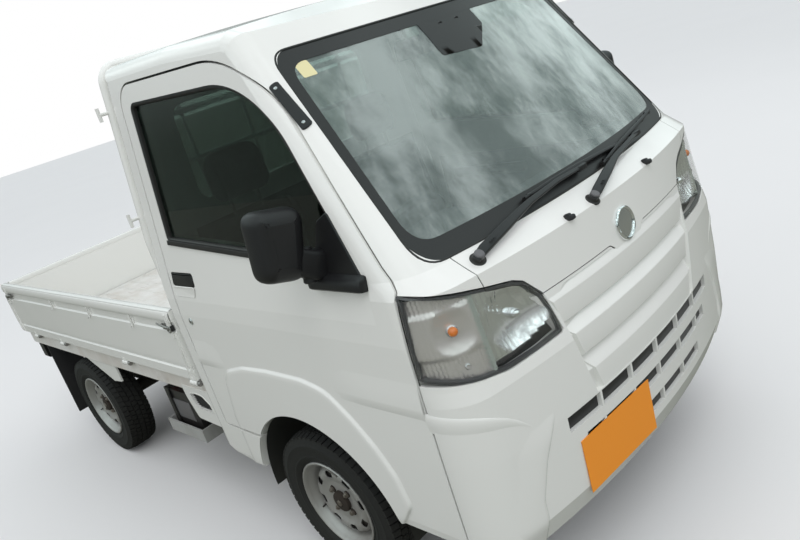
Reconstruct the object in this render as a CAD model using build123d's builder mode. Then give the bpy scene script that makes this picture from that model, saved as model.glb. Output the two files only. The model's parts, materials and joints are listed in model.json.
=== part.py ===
from build123d import *
import math
import os

os.makedirs("parts", exist_ok=True)

# Kei truck, cab over the front wheels, with a flat drop-side bed.
# X points forward, Y to the truck's left, Z up. The ground is Z = 0 and X = 0 is the middle of its length.
# All sizes are millimetres.

# Overall sizes
LENGTH = 3395.0
CAB_HALF_WIDTH = 735.0
BED_HALF_WIDTH = 737.0
HEIGHT = 1780.0
NOSE_X = LENGTH / 2
TAIL_X = -LENGTH / 2

# Wheels and axles
TYRE_RADIUS = 267.0
TYRE_WIDTH = 147.0
RIM_RADIUS = 152.0
WHEELBASE = 1900.0
FRONT_OVERHANG = 809.5
FRONT_AXLE_X = NOSE_X - FRONT_OVERHANG
REAR_AXLE_X = FRONT_AXLE_X - WHEELBASE
AXLE_Z = TYRE_RADIUS
WHEEL_Y = 652.0
ARCH_RADIUS = 352.0
STUB_RADIUS = 15.0
RUNNING_GAP = 0.05

# Gaps
SEAM = 3.0
SEAT = 0.3
MOVING_GAP = 6.0
DOOR_GAP = 6.5

# Cab walls
SIDE_WALL = 60.0
PANEL_DEPTH = 40.0
NOSE_WALL = 60.0
ROOF_WALL = 40.0
BACK_WALL = 40.0
GLASS = 5.0
GLASS_DEPTH = 3.0
DOOR_GLASS_DEPTH = 14.0
CAB_BACK_X = 303.0
CAB_BASE_Z = 290.0
FRONT_ARC_RADIUS = 2800.0
SPARE = 20.0
BACK_CORNER_RADIUS = 28.0

# Bed
BED_FRONT_X = 288.0
BED_TAIL_X = TAIL_X
BED_TOP_Z = 652.0
BED_FLOOR_THICK = 22.0
GATE_HEIGHT = 285.0
GATE_THICK = 30.0
GATE_BOTTOM_Z = 648.0
GATE_TOP_Z = GATE_BOTTOM_Z + GATE_HEIGHT
HINGE_RADIUS = 7.0
HINGE_PIN_RADIUS = 4.0
HINGE_DROP = 14.0
SILL_INSET = 21.0
SILL_GAP = 8.0
SILL_HEIGHT = 70.0
SILL_WIDTH = 36.0

# Door handle recess
HANDLE_X = 475.0
HANDLE_Z = 1060.0
HANDLE_LENGTH = 145.0
HANDLE_HEIGHT = 50.0
HANDLE_DEPTH = 24.0

# Radiator
RADIATOR_X = 1590.0
RADIATOR_Z = 540.0

# Cab inside
FLOOR_THICK = 24.0
FLOOR_HALF = 655.0
SEAT_DECK_Z = 645.0
DECK_FRONT_X = 1218.0
FOOT_FLOOR_Z = 430.0
WHEEL_WALL_Y = 408.0
WHEEL_WALL_DROP = 250.0
BAY_HALF = 470.0
SEAT_Y = 345.0
SEAT_WIDTH = 470.0
DASH_HALF = 610.0
DASH_FRONT_X = 1640.0
DRIVER_Y = 345.0
WHEEL_HUB_X = 1135.0
WHEEL_HUB_Z = 1020.0
COLUMN_TILT = 38.0
STEERING_RADIUS = 180.0
COLUMN_RADIUS = 18.0
COLUMN_LENGTH = 330.0
POD_Z = 1590.0
POD_LONG = 70.0
POD_WIDE = 150.0
POD_TALL = 60.0
COLUMN_GAP = 0.6

# Mirrors
MIRROR_X = 1290.0
MIRROR_Y = 812.0
MIRROR_Z = 1200.0
MIRROR_WIDTH = 150.0
MIRROR_HEIGHT = 205.0
MIRROR_DEPTH = 70.0

# Chassis, engine and suspension
RAIL_Y = 330.0
RAIL_WIDTH = 56.0
RAIL_FRONT_TOP = 395.0
RAIL_REAR_TOP = 560.0
ENGINE_X = 640.0
ENGINE_Z = 400.0
ENGINE_LONG = 560.0
ENGINE_TALL = 330.0
SPRING_Y = 470.0
SPRING_Z = AXLE_Z + 34.0 + 0.3
SHAFT_FRONT_Z = 320.0
KINGPIN_Y = 560.0
KINGPIN_RADIUS = 10.0
KNUCKLE_BASE_Z = 215.0
KNUCKLE_TOP_Z = 345.0
SPRING_SEAT_Z = 546.0
DISC_IN = 30.0
DRUM_IN = 36.0
HUB_OUT = 52.0
HUB_IN = 12.0
BEAD_OUT = 60.0
FLANGE = 12.0
RIM_HOLES = 12
RIM_HOLE_RING = 98.0
RIM_HOLE_RADIUS = 13.0

# Battery, gates and plates
BATTERY_X = -120.0
BATTERY_Y = 600.0
BATTERY_BASE_Z = 290.0
REAR_GATE_HALF = 700.0
GUARD_X = 266.0
GUARD_TUBE = 16.0
GUARD_HALF = 684.0
GUARD_BOARD_HALF = 675.0
GUARD_BOARD_THICK = 24.0
PLATE_WIDTH = 330.0
PLATE_HEIGHT = 165.0
PLATE_Y = 249.0
PLATE_Z = 420.0

SIDES = (("right", -1), ("left", 1))


def flat_face(plane, corners):
    """A face on a plane from rows of (across, up, corner radius)."""
    with BuildSketch(plane) as sketch:
        with BuildLine():
            FilletPolyline([row[:2] for row in corners], radius=[row[2] for row in corners], close=True)
        make_face()
    return sketch.sketch


def grown(face, amount):
    """The same face with its outline moved out by an amount, or in where the amount is negative."""
    return offset(face, amount=amount, kind=Kind.INTERSECTION)


def side_cut(side):
    """Signed depth that takes a face drawn on the XZ plane out through one side of the truck."""
    return -side * (CAB_HALF_WIDTH + 300)


# Cab form: plan sections, one at each height where the real skin changes its slope.
# Each row: height, nose reach in X, half width, front corner radius.
CAB_LEVELS = (
    (CAB_BASE_Z, NOSE_X - 30, 724, 110),
    (360, NOSE_X - 4, 733, 120),
    (600, NOSE_X, 735, 130),
    (775, NOSE_X - 3, 735, 130),
    (815, NOSE_X - 12, 735, 135),
    (930, NOSE_X - 28, 735, 140),
    (1050, NOSE_X - 42, 728, 140),
    (1092, NOSE_X - 101, 718, 125),
    (1645, NOSE_X - 500, 645, 80),
    (1810, NOSE_X - 619, 622, 75),
)

# Roof form: sections across the cab. Each row: X, height at the middle, height at the edge.
ROOF_STATIONS = (
    (CAB_BACK_X - 20, 1772, 1756),
    (700, 1766, 1748),
    (1020, 1746, 1728),
    (1165, 1698, 1684),
    (1400, 1590, 1580),
)
ROOF_CORNER_RADIUS = 55.0
TUMBLEHOME = 0.132
TUMBLEHOME_Z = 950.0


def cab_form(side_in=0.0, nose_in=0.0, back_in=0.0, roof_in=0.0):
    """The cab's outer form, drawn in by a wall on each side, at the nose, at the back and at the roof."""
    back = CAB_BACK_X + back_in
    with BuildPart() as form:
        for height, nose_x, half_width, corner in CAB_LEVELS:
            half = half_width - side_in
            nose = nose_x - nose_in
            corner_x = nose - FRONT_ARC_RADIUS + math.sqrt(FRONT_ARC_RADIUS**2 - half**2)
            with BuildSketch(Plane.XY.offset(height)) as plan:
                with BuildLine():
                    Line((corner_x, half), (back, half))
                    Line((back, half), (back, -half))
                    Line((back, -half), (corner_x, -half))
                    ThreePointArc((corner_x, -half), (nose, 0), (corner_x, half))
                make_face()
                fillet(plan.vertices().group_by(Axis.X)[-1], radius=corner - nose_in / 2)
                fillet(plan.vertices().group_by(Axis.X)[0], radius=BACK_CORNER_RADIUS)
        loft(ruled=True)
    with BuildPart() as roof:
        for station, middle, edge in ROOF_STATIONS:
            wide = CAB_HALF_WIDTH + 40
            knee = CAB_HALF_WIDTH + 1.5 - side_in
            top = edge - roof_in
            shoulder = knee - TUMBLEHOME * (top - TUMBLEHOME_Z)
            with BuildSketch(Plane.YZ.offset(station)) as across:
                with BuildLine():
                    Polyline((-shoulder, top), (-knee, TUMBLEHOME_Z), (-wide, TUMBLEHOME_Z), (-wide, 200))
                    Line((-wide, 200), (wide, 200))
                    Polyline((wide, 200), (wide, TUMBLEHOME_Z), (knee, TUMBLEHOME_Z), (shoulder, top))
                    ThreePointArc((-shoulder, top), (0, middle - roof_in), (shoulder, top))
                make_face()
                fillet(across.vertices().group_by(Axis.Y)[-1], radius=ROOF_CORNER_RADIUS)
        loft(ruled=True)
        with Locations((1400 + 250, 0, 200)):
            Box(500, 2 * (CAB_HALF_WIDTH + 40), 1380, align=(Align.CENTER, Align.CENTER, Align.MIN))
    return form.part & roof.part

CAB_OUT = cab_form()
CAB_IN = cab_form(SIDE_WALL, NOSE_WALL, BACK_WALL, ROOF_WALL)
PANEL_IN = cab_form(PANEL_DEPTH, PANEL_DEPTH)
PANEL_SEAT = cab_form(PANEL_DEPTH + SEAT, PANEL_DEPTH + SEAT)
GLASS_OUT = cab_form(GLASS_DEPTH, GLASS_DEPTH, GLASS_DEPTH)
GLASS_IN = cab_form(GLASS_DEPTH + GLASS, GLASS_DEPTH + GLASS, GLASS_DEPTH + GLASS)
GLASS_SEAT = cab_form(GLASS_DEPTH + GLASS + SEAT, GLASS_DEPTH + GLASS + SEAT, GLASS_DEPTH + GLASS + SEAT)
DOOR_GLASS_OUT = cab_form(DOOR_GLASS_DEPTH)
DOOR_GLASS_IN = cab_form(DOOR_GLASS_DEPTH + GLASS, -SPARE, -SPARE, -SPARE)
DOOR_IN = cab_form(SIDE_WALL, -SPARE, -SPARE, -SPARE)
FLOOR_ZONE = cab_form(SIDE_WALL + SEAT, NOSE_WALL + SEAT, BACK_WALL + SEAT)


def skin_x(across, height):
    """X of the cab's front skin at a place across the truck and a height."""
    nose_x = CAB_LEVELS[0][1]
    for low, high in zip(CAB_LEVELS, CAB_LEVELS[1:]):
        if low[0] <= height <= high[0]:
            nose_x = low[1] + (high[1] - low[1]) * (height - low[0]) / (high[0] - low[0])
    return nose_x - FRONT_ARC_RADIUS + math.sqrt(FRONT_ARC_RADIUS**2 - across**2)


def both_sides(rows):
    """A closed outline, the same on both sides, from the rows of its left half: (across, up, corner radius)."""
    return list(rows) + [(-across, up, radius) for across, up, radius in reversed(rows)]


# Door outline seen from the side. Each row: X, Z, corner radius.
DOOR_REAR_X = 385.0
DOOR_FACE = flat_face(Plane.XZ, (
    (DOOR_REAR_X, 487, 10),
    (DOOR_REAR_X, 1690, 75),
    (1102, 1670, 400),
    (1440, 1122, 60),
    (1479, 1068, 12),
    (1481, 831, 0),
    (1485, 335, 12),
    (1230, 335, 0),
    (900, 487, 0),
))
DOOR_GAP_FACE = grown(DOOR_FACE, DOOR_GAP)

# Window opening in the door. Each row: X, Z, corner radius.
WINDOW_ROWS = (
    (444, 1190, 18),
    (438, 1633, 30),
    (1115, 1611, 360),
    (1404, 1073, 8),
    (1186, 1073, 6),
    (1150, 1139, 20),
)
WINDOW_FACE = flat_face(Plane.XZ, WINDOW_ROWS)
DOOR_GLASS_FACE = grown(WINDOW_FACE, -SEAT)

# Windscreen outline seen from the front, its left half. Each row: Y, Z, corner radius.
SCREEN_BASE_Z = 1098.0
SCREEN_FACE = flat_face(Plane.YZ.offset(1000), both_sides((
    (643, SCREEN_BASE_Z, 60),
    (584, 1645, 55),
)))
SCREEN_LIP = 16.0
SCREEN_REBATE_FACE = grown(SCREEN_FACE, SEAT)
SCREEN_OPENING_FACE = grown(SCREEN_FACE, -SCREEN_LIP)

# Rear window outline, its left half.
REAR_WINDOW_FACE = flat_face(Plane.YZ.offset(CAB_BACK_X - 100), both_sides((
    (490, 1235, 60),
    (475, 1600, 60),
)))
REAR_WINDOW_LIP = 14.0
REAR_REBATE_FACE = grown(REAR_WINDOW_FACE, SEAT)
REAR_OPENING_FACE = grown(REAR_WINDOW_FACE, -REAR_WINDOW_LIP)

# Front cover outline, its left half, with the finger notch under the badge. Each row: Y, Z, corner radius.
COVER_BASE_Z = 926.0
COVER_FACE = flat_face(Plane.YZ.offset(1000), both_sides((
    (566, SCREEN_BASE_Z - SEAM, 0),
    (563, 1063, 60),
    (551, 1005, 0),
    (475, 985, 0),
    (444, 972, 0),
    (396, COVER_BASE_Z, 0),
    (96, COVER_BASE_Z, 24),
    (58, COVER_BASE_Z - 33, 34),
)))
COVER_GAP_FACE = grown(COVER_FACE, SEAM)

# Headlamp outline on the left side. Each row: Y, Z, corner radius.
LAMP_ROWS = (
    (397, 926, 6),
    (442, 978, 20),
    (475, 994, 20),
    (551, 1012, 120),
    (690, 1050, 0),
    (800, 1095, 0),
    (800, 850, 0),
    (698, 830, 120),
    (560, 806, 160),
    (372, 811, 6),
)


def lamp_face(side, grow=0.0):
    """One headlamp's outline seen from the front, grown by a gap."""
    face = flat_face(Plane.YZ.offset(1000), [(side * across, up, radius) for across, up, radius in LAMP_ROWS])
    return grown(face, grow) if grow else face


LAMP_FACES = lamp_face(-1) + lamp_face(1)
LAMP_GAP_FACES = lamp_face(-1, SEAM) + lamp_face(1, SEAM)

# Stepped slats between the lamps. Each row: Z and how far the edge stands behind the skin's middle line.
SLAT_STEPS = (
    (917, NOSE_X - 36),
    (892, NOSE_X - 24),
    (820, NOSE_X - 36),
    (784, NOSE_X - 12),
    (710, NOSE_X - 28),
    (665, NOSE_X - 6),
    (596, NOSE_X - 16),
)
SLAT_TOP_HALF = 404.0
SLAT_BASE_HALF = 317.0

# Intake slots under the slats. Each row: low Z, high Z, half width.
SLOT_ROWS = (
    (547, 592, 445),
    (472, 512, 385),
    (388, 426, 290),
)
FIN_PITCH = 150.0
FIN_WIDTH = 8.0


# The front plate stands square to the curved skin, in a shallow seat in the bumper
PLATE_TURN = -math.degrees(math.asin(PLATE_Y / FRONT_ARC_RADIUS))
PLATE_PLANE = Plane(
    origin=(skin_x(PLATE_Y, PLATE_Z) - 2, -PLATE_Y, PLATE_Z),
    x_dir=(0, 0, 1),
    z_dir=(math.cos(math.radians(PLATE_TURN)), math.sin(math.radians(PLATE_TURN)), 0),
)

BUMPER_REAR_X = 1478.0

# Door hinges: a pin in the door's thickness, on a strap that comes round from the shell
DOOR_PIN_X = 1440.0
DOOR_PIN_Y = 725.0
DOOR_PIN_RADIUS = 4.0
# Each row: height of a hinge, X where its strap ends in the shell.
DOOR_HINGES = (
    (720.0, 1545.0),
    (950.0, 1518.0),
)
STRAP_THICK = 8.0
STRAP_OFFSET = 68.0
STRAP_PAD = 18.0
POCKET_HEIGHT = 16.0


def hinge_strap_face(side, front_x):
    """Plan of one hinge strap: the eye at the pin, in behind the door's edge and forward to the pillar."""
    with BuildSketch() as sketch:
        with Locations((DOOR_PIN_X, side * DOOR_PIN_Y)):
            Circle(DOOR_PIN_RADIUS + 1.5)
        with BuildLine():
            inner = DOOR_PIN_Y - STRAP_OFFSET
            Polyline(
                (DOOR_PIN_X - 3, side * DOOR_PIN_Y),
                (DOOR_PIN_X - 1, side * (inner - 4)),
                (front_x, side * (inner - 4)),
                (front_x, side * (inner + 4)),
                (DOOR_PIN_X + 8, side * (inner + 4)),
                (DOOR_PIN_X + 4, side * DOOR_PIN_Y),
                close=True,
            )
        make_face()
    return sketch.sketch


def hinge_pocket_face(side):
    """Plan of the pocket in the door's edge that the strap swings in."""
    with BuildSketch() as sketch:
        with Locations((DOOR_PIN_X, side * DOOR_PIN_Y)):
            Circle(DOOR_PIN_RADIUS + 3)
        with BuildLine():
            Polyline(
                (DOOR_PIN_X - 5, side * (DOOR_PIN_Y - 4)),
                (DOOR_PIN_X - 16, side * (DOOR_PIN_Y - STRAP_OFFSET - 20)),
                (DOOR_PIN_X + 90, side * (DOOR_PIN_Y - STRAP_OFFSET - 20)),
                (DOOR_PIN_X + 90, side * (DOOR_PIN_Y - 14)),
                (DOOR_PIN_X + 4, side * (DOOR_PIN_Y + 5)),
                close=True,
            )
        make_face()
    return sketch.sketch


# The part of the nose that the cover, the lamps and the bumper take up
with BuildPart() as panel_zone:
    with BuildSketch(Plane.YZ.offset(1000)):
        Rectangle(2000, COVER_BASE_Z + SEAM / 2, align=(Align.CENTER, Align.MIN))
    extrude(amount=900)
    extrude(COVER_GAP_FACE, amount=900)
    extrude(LAMP_GAP_FACES, amount=900)
    with Locations((BUMPER_REAR_X, 0, 0)):
        Box(2000, 2400, 2400, align=(Align.MAX, Align.CENTER, Align.MIN), mode=Mode.SUBTRACT)
    add(PANEL_SEAT, mode=Mode.SUBTRACT)

# Straps and pockets of the door hinges. Each row: side, height, X where the strap ends, strap face, pocket face.
HINGE_SETS = [
    (side, height, front_x, hinge_strap_face(side, front_x), hinge_pocket_face(side))
    for side_name, side in SIDES
    for height, front_x in DOOR_HINGES
]

# The rebates that the windscreen and the rear window lie in
with BuildPart() as glass_rebates:
    extrude(SCREEN_REBATE_FACE, amount=900)
    extrude(REAR_REBATE_FACE, amount=300)
    add(GLASS_SEAT, mode=Mode.SUBTRACT)

# Cab shell: pillars, roof, back wall, sills and the inner front wall
with BuildPart() as cab_shell:
    add(CAB_OUT)
    add(CAB_IN, mode=Mode.SUBTRACT)
    add(panel_zone.part, mode=Mode.SUBTRACT)
    # door openings
    extrude(DOOR_GAP_FACE, amount=CAB_HALF_WIDTH + 50, both=True, mode=Mode.SUBTRACT)
    # sills rise to the rear, and the nose is open under the bumper
    with BuildSketch(Plane.XZ):
        Polygon(
            (CAB_BACK_X - 40, 100),
            (CAB_BACK_X - 40, 409),
            (369, 356),
            (502, 334),
            (640, 344),
            (1240, 344),
            (1800, 344),
            (1800, 100),
            align=None,
        )
    extrude(amount=CAB_HALF_WIDTH + 50, both=True, mode=Mode.SUBTRACT)
    with Locations((FRONT_AXLE_X, 0, AXLE_Z)):
        Cylinder(ARCH_RADIUS, 2 * CAB_HALF_WIDTH + 100, rotation=(90, 0, 0), mode=Mode.SUBTRACT)
    # the back wall ends above the engine bay and the rails
    with Locations((CAB_BACK_X + BACK_WALL / 2, 0, CAB_BASE_Z)):
        Box(2 * BACK_WALL, 2 * BAY_HALF, SEAT_DECK_Z - FLOOR_THICK - 20 - CAB_BASE_Z,
            align=(Align.CENTER, Align.CENTER, Align.MIN), mode=Mode.SUBTRACT)
    # air way to the radiator
    with Locations((NOSE_X, 0, 330)):
        Box(400, 1120, 440, align=(Align.CENTER, Align.CENTER, Align.MIN), mode=Mode.SUBTRACT)
    # windscreen and rear window: the rebates and the openings inside them
    add(glass_rebates.part, mode=Mode.SUBTRACT)
    extrude(SCREEN_OPENING_FACE, amount=900, mode=Mode.SUBTRACT)
    extrude(REAR_OPENING_FACE, amount=300, mode=Mode.SUBTRACT)
    # door hinge straps with their pins
    for side, height, front_x, strap_face, pocket_face in HINGE_SETS:
        extrude(strap_face.moved(Location((0, 0, height))), amount=STRAP_THICK / 2, both=True)
        with Locations((front_x - STRAP_PAD / 2, side * (DOOR_PIN_Y - STRAP_OFFSET), height)):
            Box(STRAP_PAD, 10, 26)
        with Locations((DOOR_PIN_X, side * DOOR_PIN_Y, height)):
            Cylinder(DOOR_PIN_RADIUS, 50)
cab_shell.part.label = "cab_shell"
export_step(cab_shell.part, "parts/cab_shell.step")

# Doors, each cut from the same form as the shell
for side_name, side in SIDES:
    with BuildPart() as door:
        add(CAB_OUT)
        add(DOOR_IN, mode=Mode.SUBTRACT)
        extrude(DOOR_FACE, amount=side_cut(side), mode=Mode.INTERSECT)
        with Locations((FRONT_AXLE_X, 0, AXLE_Z)):
            Cylinder(ARCH_RADIUS, 2 * CAB_HALF_WIDTH + 100, rotation=(90, 0, 0), mode=Mode.SUBTRACT)
        extrude(WINDOW_FACE, amount=side_cut(side), mode=Mode.SUBTRACT)
        # recess behind the handle
        with BuildSketch(Plane.XZ.offset(-side * (CAB_HALF_WIDTH + 1))):
            with Locations((HANDLE_X, HANDLE_Z)):
                RectangleRounded(HANDLE_LENGTH, HANDLE_HEIGHT, 12)
        extrude(amount=side * HANDLE_DEPTH, mode=Mode.SUBTRACT)
        for hinge_side, height, front_x, strap_face, pocket_face in HINGE_SETS:
            if hinge_side == side:
                extrude(pocket_face.moved(Location((0, 0, height))), amount=POCKET_HEIGHT / 2, both=True,
                        mode=Mode.SUBTRACT)
                with Locations((DOOR_PIN_X, side * DOOR_PIN_Y, height)):
                    Cylinder(DOOR_PIN_RADIUS + RUNNING_GAP, 54, mode=Mode.SUBTRACT)
    door.part.label = f"door_{side_name}"
    export_step(door.part, f"parts/door_{side_name}.step")

    with BuildPart() as door_glass:
        add(DOOR_GLASS_OUT)
        add(DOOR_GLASS_IN, mode=Mode.SUBTRACT)
        extrude(DOOR_GLASS_FACE, amount=side_cut(side), mode=Mode.INTERSECT)
    door_glass.part.label = f"door_glass_{side_name}"
    export_step(door_glass.part, f"parts/door_glass_{side_name}.step")

# Windscreen and rear window
with BuildPart() as cab_glass:
    extrude(SCREEN_FACE, amount=900)
    extrude(REAR_WINDOW_FACE, amount=300)
    add(GLASS_OUT, mode=Mode.INTERSECT)
    add(GLASS_IN, mode=Mode.SUBTRACT)
cab_glass.part.label = "cab_glass"
export_step(cab_glass.part, "parts/cab_glass.step")

# Front cover panel under the windscreen
with BuildPart() as front_cover:
    add(CAB_OUT)
    add(PANEL_IN, mode=Mode.SUBTRACT)
    extrude(COVER_FACE, amount=900, mode=Mode.INTERSECT)
    extrude(LAMP_GAP_FACES, amount=900, mode=Mode.SUBTRACT)
front_cover.part.label = "front_cover"
export_step(front_cover.part, "parts/front_cover.step")

# Headlamps, wrapped round the corners of the nose
with BuildPart() as headlamps:
    extrude(LAMP_FACES, amount=900)
    add(CAB_OUT, mode=Mode.INTERSECT)
    add(PANEL_IN, mode=Mode.SUBTRACT)
    extrude(DOOR_GAP_FACE, amount=CAB_HALF_WIDTH + 50, both=True, mode=Mode.SUBTRACT)
    with Locations((BUMPER_REAR_X, 0, 0)):
        Box(2000, 2400, 2400, align=(Align.MAX, Align.CENTER, Align.MIN), mode=Mode.SUBTRACT)
headlamps.part.label = "headlamps"
export_step(headlamps.part, "parts/headlamps.step")

# Front bumper with the stepped slats and the slotted intake
with BuildPart() as slat_cut:
    with BuildSketch(Plane.XZ.offset(0)):
        with BuildLine():
            Polyline(
                [(x, z) for z, x in SLAT_STEPS] + [(NOSE_X + 60, SLAT_STEPS[-1][0]), (NOSE_X + 60, SLAT_STEPS[0][0])],
                close=True,
            )
        make_face()
    revolve(
        axis=Axis((NOSE_X - FRONT_ARC_RADIUS, 0, 0), (0, 0, 1)),
        revolution_arc=24,
    )
slats = slat_cut.part.rotate(Axis((NOSE_X - FRONT_ARC_RADIUS, 0, 0), (0, 0, 1)), -12)
with BuildPart() as slat_zone:
    with BuildSketch(Plane.YZ.offset(NOSE_X - 45)):
        Polygon(
            (-SLAT_TOP_HALF + 20, SLAT_STEPS[0][0] + 10),
            (SLAT_TOP_HALF - 20, SLAT_STEPS[0][0] + 10),
            (SLAT_BASE_HALF - 20, SLAT_STEPS[-1][0]),
            (-SLAT_BASE_HALF + 20, SLAT_STEPS[-1][0]),
            align=None,
        )
    extrude(amount=100, taper=-25)
    add(slats, mode=Mode.INTERSECT)

with BuildPart() as front_bumper:
    with Locations((BUMPER_REAR_X, 0, 0)):
        Box(LENGTH / 4, 2 * LENGTH, COVER_BASE_Z - SEAM, align=(Align.MIN, Align.CENTER, Align.MIN))
    add(CAB_OUT, mode=Mode.INTERSECT)
    add(PANEL_IN, mode=Mode.SUBTRACT)
    extrude(COVER_GAP_FACE, amount=900, mode=Mode.SUBTRACT)
    extrude(LAMP_GAP_FACES, amount=900, mode=Mode.SUBTRACT)
    extrude(DOOR_GAP_FACE, amount=CAB_HALF_WIDTH + 50, both=True, mode=Mode.SUBTRACT)
    # slats, with sloped ends
    add(slat_zone.part, mode=Mode.SUBTRACT)
    # intake slots between the fins
    for low, high, half in SLOT_ROWS:
        fins = [FIN_PITCH * k for k in range(-3, 4) if abs(FIN_PITCH * k) < half - 30]
        edges = [-half] + fins + [half]
        with BuildSketch(Plane.YZ.offset(NOSE_X - 150)):
            for start, end in zip(edges, edges[1:]):
                with Locations(((start + end) / 2, (low + high) / 2)):
                    Rectangle(end - start - FIN_WIDTH, high - low)
        extrude(amount=200, mode=Mode.SUBTRACT)
    with Locations(PLATE_PLANE):
        with Locations((0, 0, -1 - SEAT)):
            Box(PLATE_HEIGHT + 6, PLATE_WIDTH + 6, 40, align=(Align.CENTER, Align.CENTER, Align.MIN), mode=Mode.SUBTRACT)
front_bumper.part.label = "front_bumper"
export_step(front_bumper.part, "parts/front_bumper.step")

# Radiator behind the slots
with BuildPart() as radiator:
    with Locations((RADIATOR_X, 0, RADIATOR_Z)):
        Box(45, 560, 360)
        with Locations((0, 0, 180 + 12)):
            Box(52, 580, 24)
        with Locations((0, 0, -180 - 12)):
            Box(52, 580, 24)
radiator.part.label = "radiator"
export_step(radiator.part, "parts/radiator.step")

# Cab floor: foot well, toe board, seat deck over the engine and the wheels, and the inner wheel walls
with BuildPart() as cab_floor:
    with BuildSketch(Plane.XZ):
        with BuildLine():
            Polyline(
                (CAB_BACK_X + BACK_WALL + SEAT, SEAT_DECK_Z),
                (DECK_FRONT_X, SEAT_DECK_Z),
                (DECK_FRONT_X + 12, FOOT_FLOOR_Z),
                (1470, FOOT_FLOOR_Z),
                (1560, FOOT_FLOOR_Z + 90),
                (1560, FOOT_FLOOR_Z + 90 - FLOOR_THICK * 1.4),
                (1476, FOOT_FLOOR_Z - FLOOR_THICK),
                (DECK_FRONT_X - 10, FOOT_FLOOR_Z - FLOOR_THICK),
                (DECK_FRONT_X - FLOOR_THICK, SEAT_DECK_Z - FLOOR_THICK),
                (CAB_BACK_X + BACK_WALL + SEAT, SEAT_DECK_Z - FLOOR_THICK),
                close=True,
            )
        make_face()
    extrude(amount=FLOOR_HALF, both=True)
    for side_name, side in SIDES:
        with Locations(((DECK_FRONT_X + 560) / 2, side * WHEEL_WALL_Y, SEAT_DECK_Z - FLOOR_THICK - WHEEL_WALL_DROP)):
            Box(DECK_FRONT_X - 580, 8, WHEEL_WALL_DROP + 4, align=(Align.CENTER, Align.CENTER, Align.MIN))
        # sill boxes that carry the floor's edge into the shell behind the door opening
        with Locations(((CAB_BACK_X + BACK_WALL + 560) / 2, side * (FLOOR_HALF - 20), 430)):
            Box(560 - CAB_BACK_X - BACK_WALL - 2 * SEAT, 40, SEAT_DECK_Z - 430 - 4,
                align=(Align.CENTER, Align.CENTER, Align.MIN))
    add(FLOOR_ZONE, mode=Mode.INTERSECT)
cab_floor.part.label = "cab_floor"
export_step(cab_floor.part, "parts/cab_floor.step")

# Seats: cushion and back for each side, as simple closed forms
with BuildPart() as seats:
    for side_name, side in SIDES:
        with BuildSketch(Plane.XZ.offset(-side * (SEAT_Y - SEAT_WIDTH / 2))):
            with BuildLine():
                FilletPolyline(
                    (365, SEAT_DECK_Z + SEAT),
                    (880, SEAT_DECK_Z + SEAT),
                    (905, SEAT_DECK_Z + 130),
                    (530, SEAT_DECK_Z + 120),
                    (470, SEAT_DECK_Z + 560),
                    (445, SEAT_DECK_Z + 790),
                    (350, SEAT_DECK_Z + 790),
                    (360, SEAT_DECK_Z + 400),
                    radius=[10, 30, 40, 40, 200, 25, 25, 100],
                    close=True,
                )
            make_face()
        extrude(amount=-side * SEAT_WIDTH)
seats.part.label = "seats"
export_step(seats.part, "parts/seats.step")

# The steering column's slope
COLUMN_PLANE = Plane(
    origin=(WHEEL_HUB_X, -DRIVER_Y, WHEEL_HUB_Z),
    x_dir=(0, 1, 0),
    z_dir=(-math.cos(math.radians(COLUMN_TILT)), 0, math.sin(math.radians(COLUMN_TILT))),
)

# Dashboard, with the hole for the steering column
with BuildPart() as dashboard:
    with BuildSketch(Plane.XZ):
        with BuildLine():
            FilletPolyline(
                (DASH_FRONT_X, 1040),
                (1500, 1060),
                (1330, 1075),
                (1245, 1030),
                (1225, 960),
                (1270, 850),
                (1300, 720),
                (1490, 720),
                (1500, 790),
                (DASH_FRONT_X, 790),
                radius=[0, 5, 40, 30, 25, 30, 20, 5, 5, 0],
                close=True,
            )
        make_face()
    extrude(amount=DASH_HALF, both=True)
    with Locations(COLUMN_PLANE):
        Cylinder(COLUMN_RADIUS + COLUMN_GAP, 2 * COLUMN_LENGTH + 40, mode=Mode.SUBTRACT)
    add(FLOOR_ZONE, mode=Mode.INTERSECT)
dashboard.part.label = "dashboard"
export_step(dashboard.part, "parts/dashboard.step")

# Steering wheel: rim, hub, three spokes and the column that runs into the dashboard
with BuildPart(COLUMN_PLANE) as steering_wheel:
    Torus(STEERING_RADIUS, 13)
    Cylinder(48, 26)
    for turn in (0, 180, 270):
        with PolarLocations(STEERING_RADIUS / 2, 1, start_angle=turn):
            Box(STEERING_RADIUS - 16, 34, 12)
    with Locations((0, 0, -COLUMN_LENGTH / 2)):
        Cylinder(COLUMN_RADIUS, COLUMN_LENGTH)
steering_wheel.part.label = "steering_wheel"
export_step(steering_wheel.part, "parts/steering_wheel.step")

# Camera and mirror pod at the top of the windscreen
with BuildPart() as camera_pod:
    pod_front = skin_x(POD_WIDE / 2, POD_Z + POD_TALL / 2) - GLASS_DEPTH - GLASS - 2 * SEAT
    with Locations((pod_front - POD_LONG / 2, 0, POD_Z)):
        Box(POD_LONG, POD_WIDE, POD_TALL)
        with Locations((-58, 0, -40)):
            Box(16, 240, 62)
        with Locations((-36, 0, -20)):
            Box(40, 24, 24)
camera_pod.part.label = "camera_pod"
export_step(camera_pod.part, "parts/camera_pod.step")

# Wipers. Each row: pivot Y and Z, arm tip Y and Z, blade start Y and Z, blade end Y and Z.
WIPER_ROWS = (
    (-528, 1078, -160, 1120, -330, 1113, 60, 1122),
    (-105, 1057, 210, 1118, 60, 1104, 440, 1128),
)


def off_skin(across, height, gap):
    """A point that stands off the front skin by a gap, along X."""
    return (skin_x(across, height) + gap, across, height)


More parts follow.
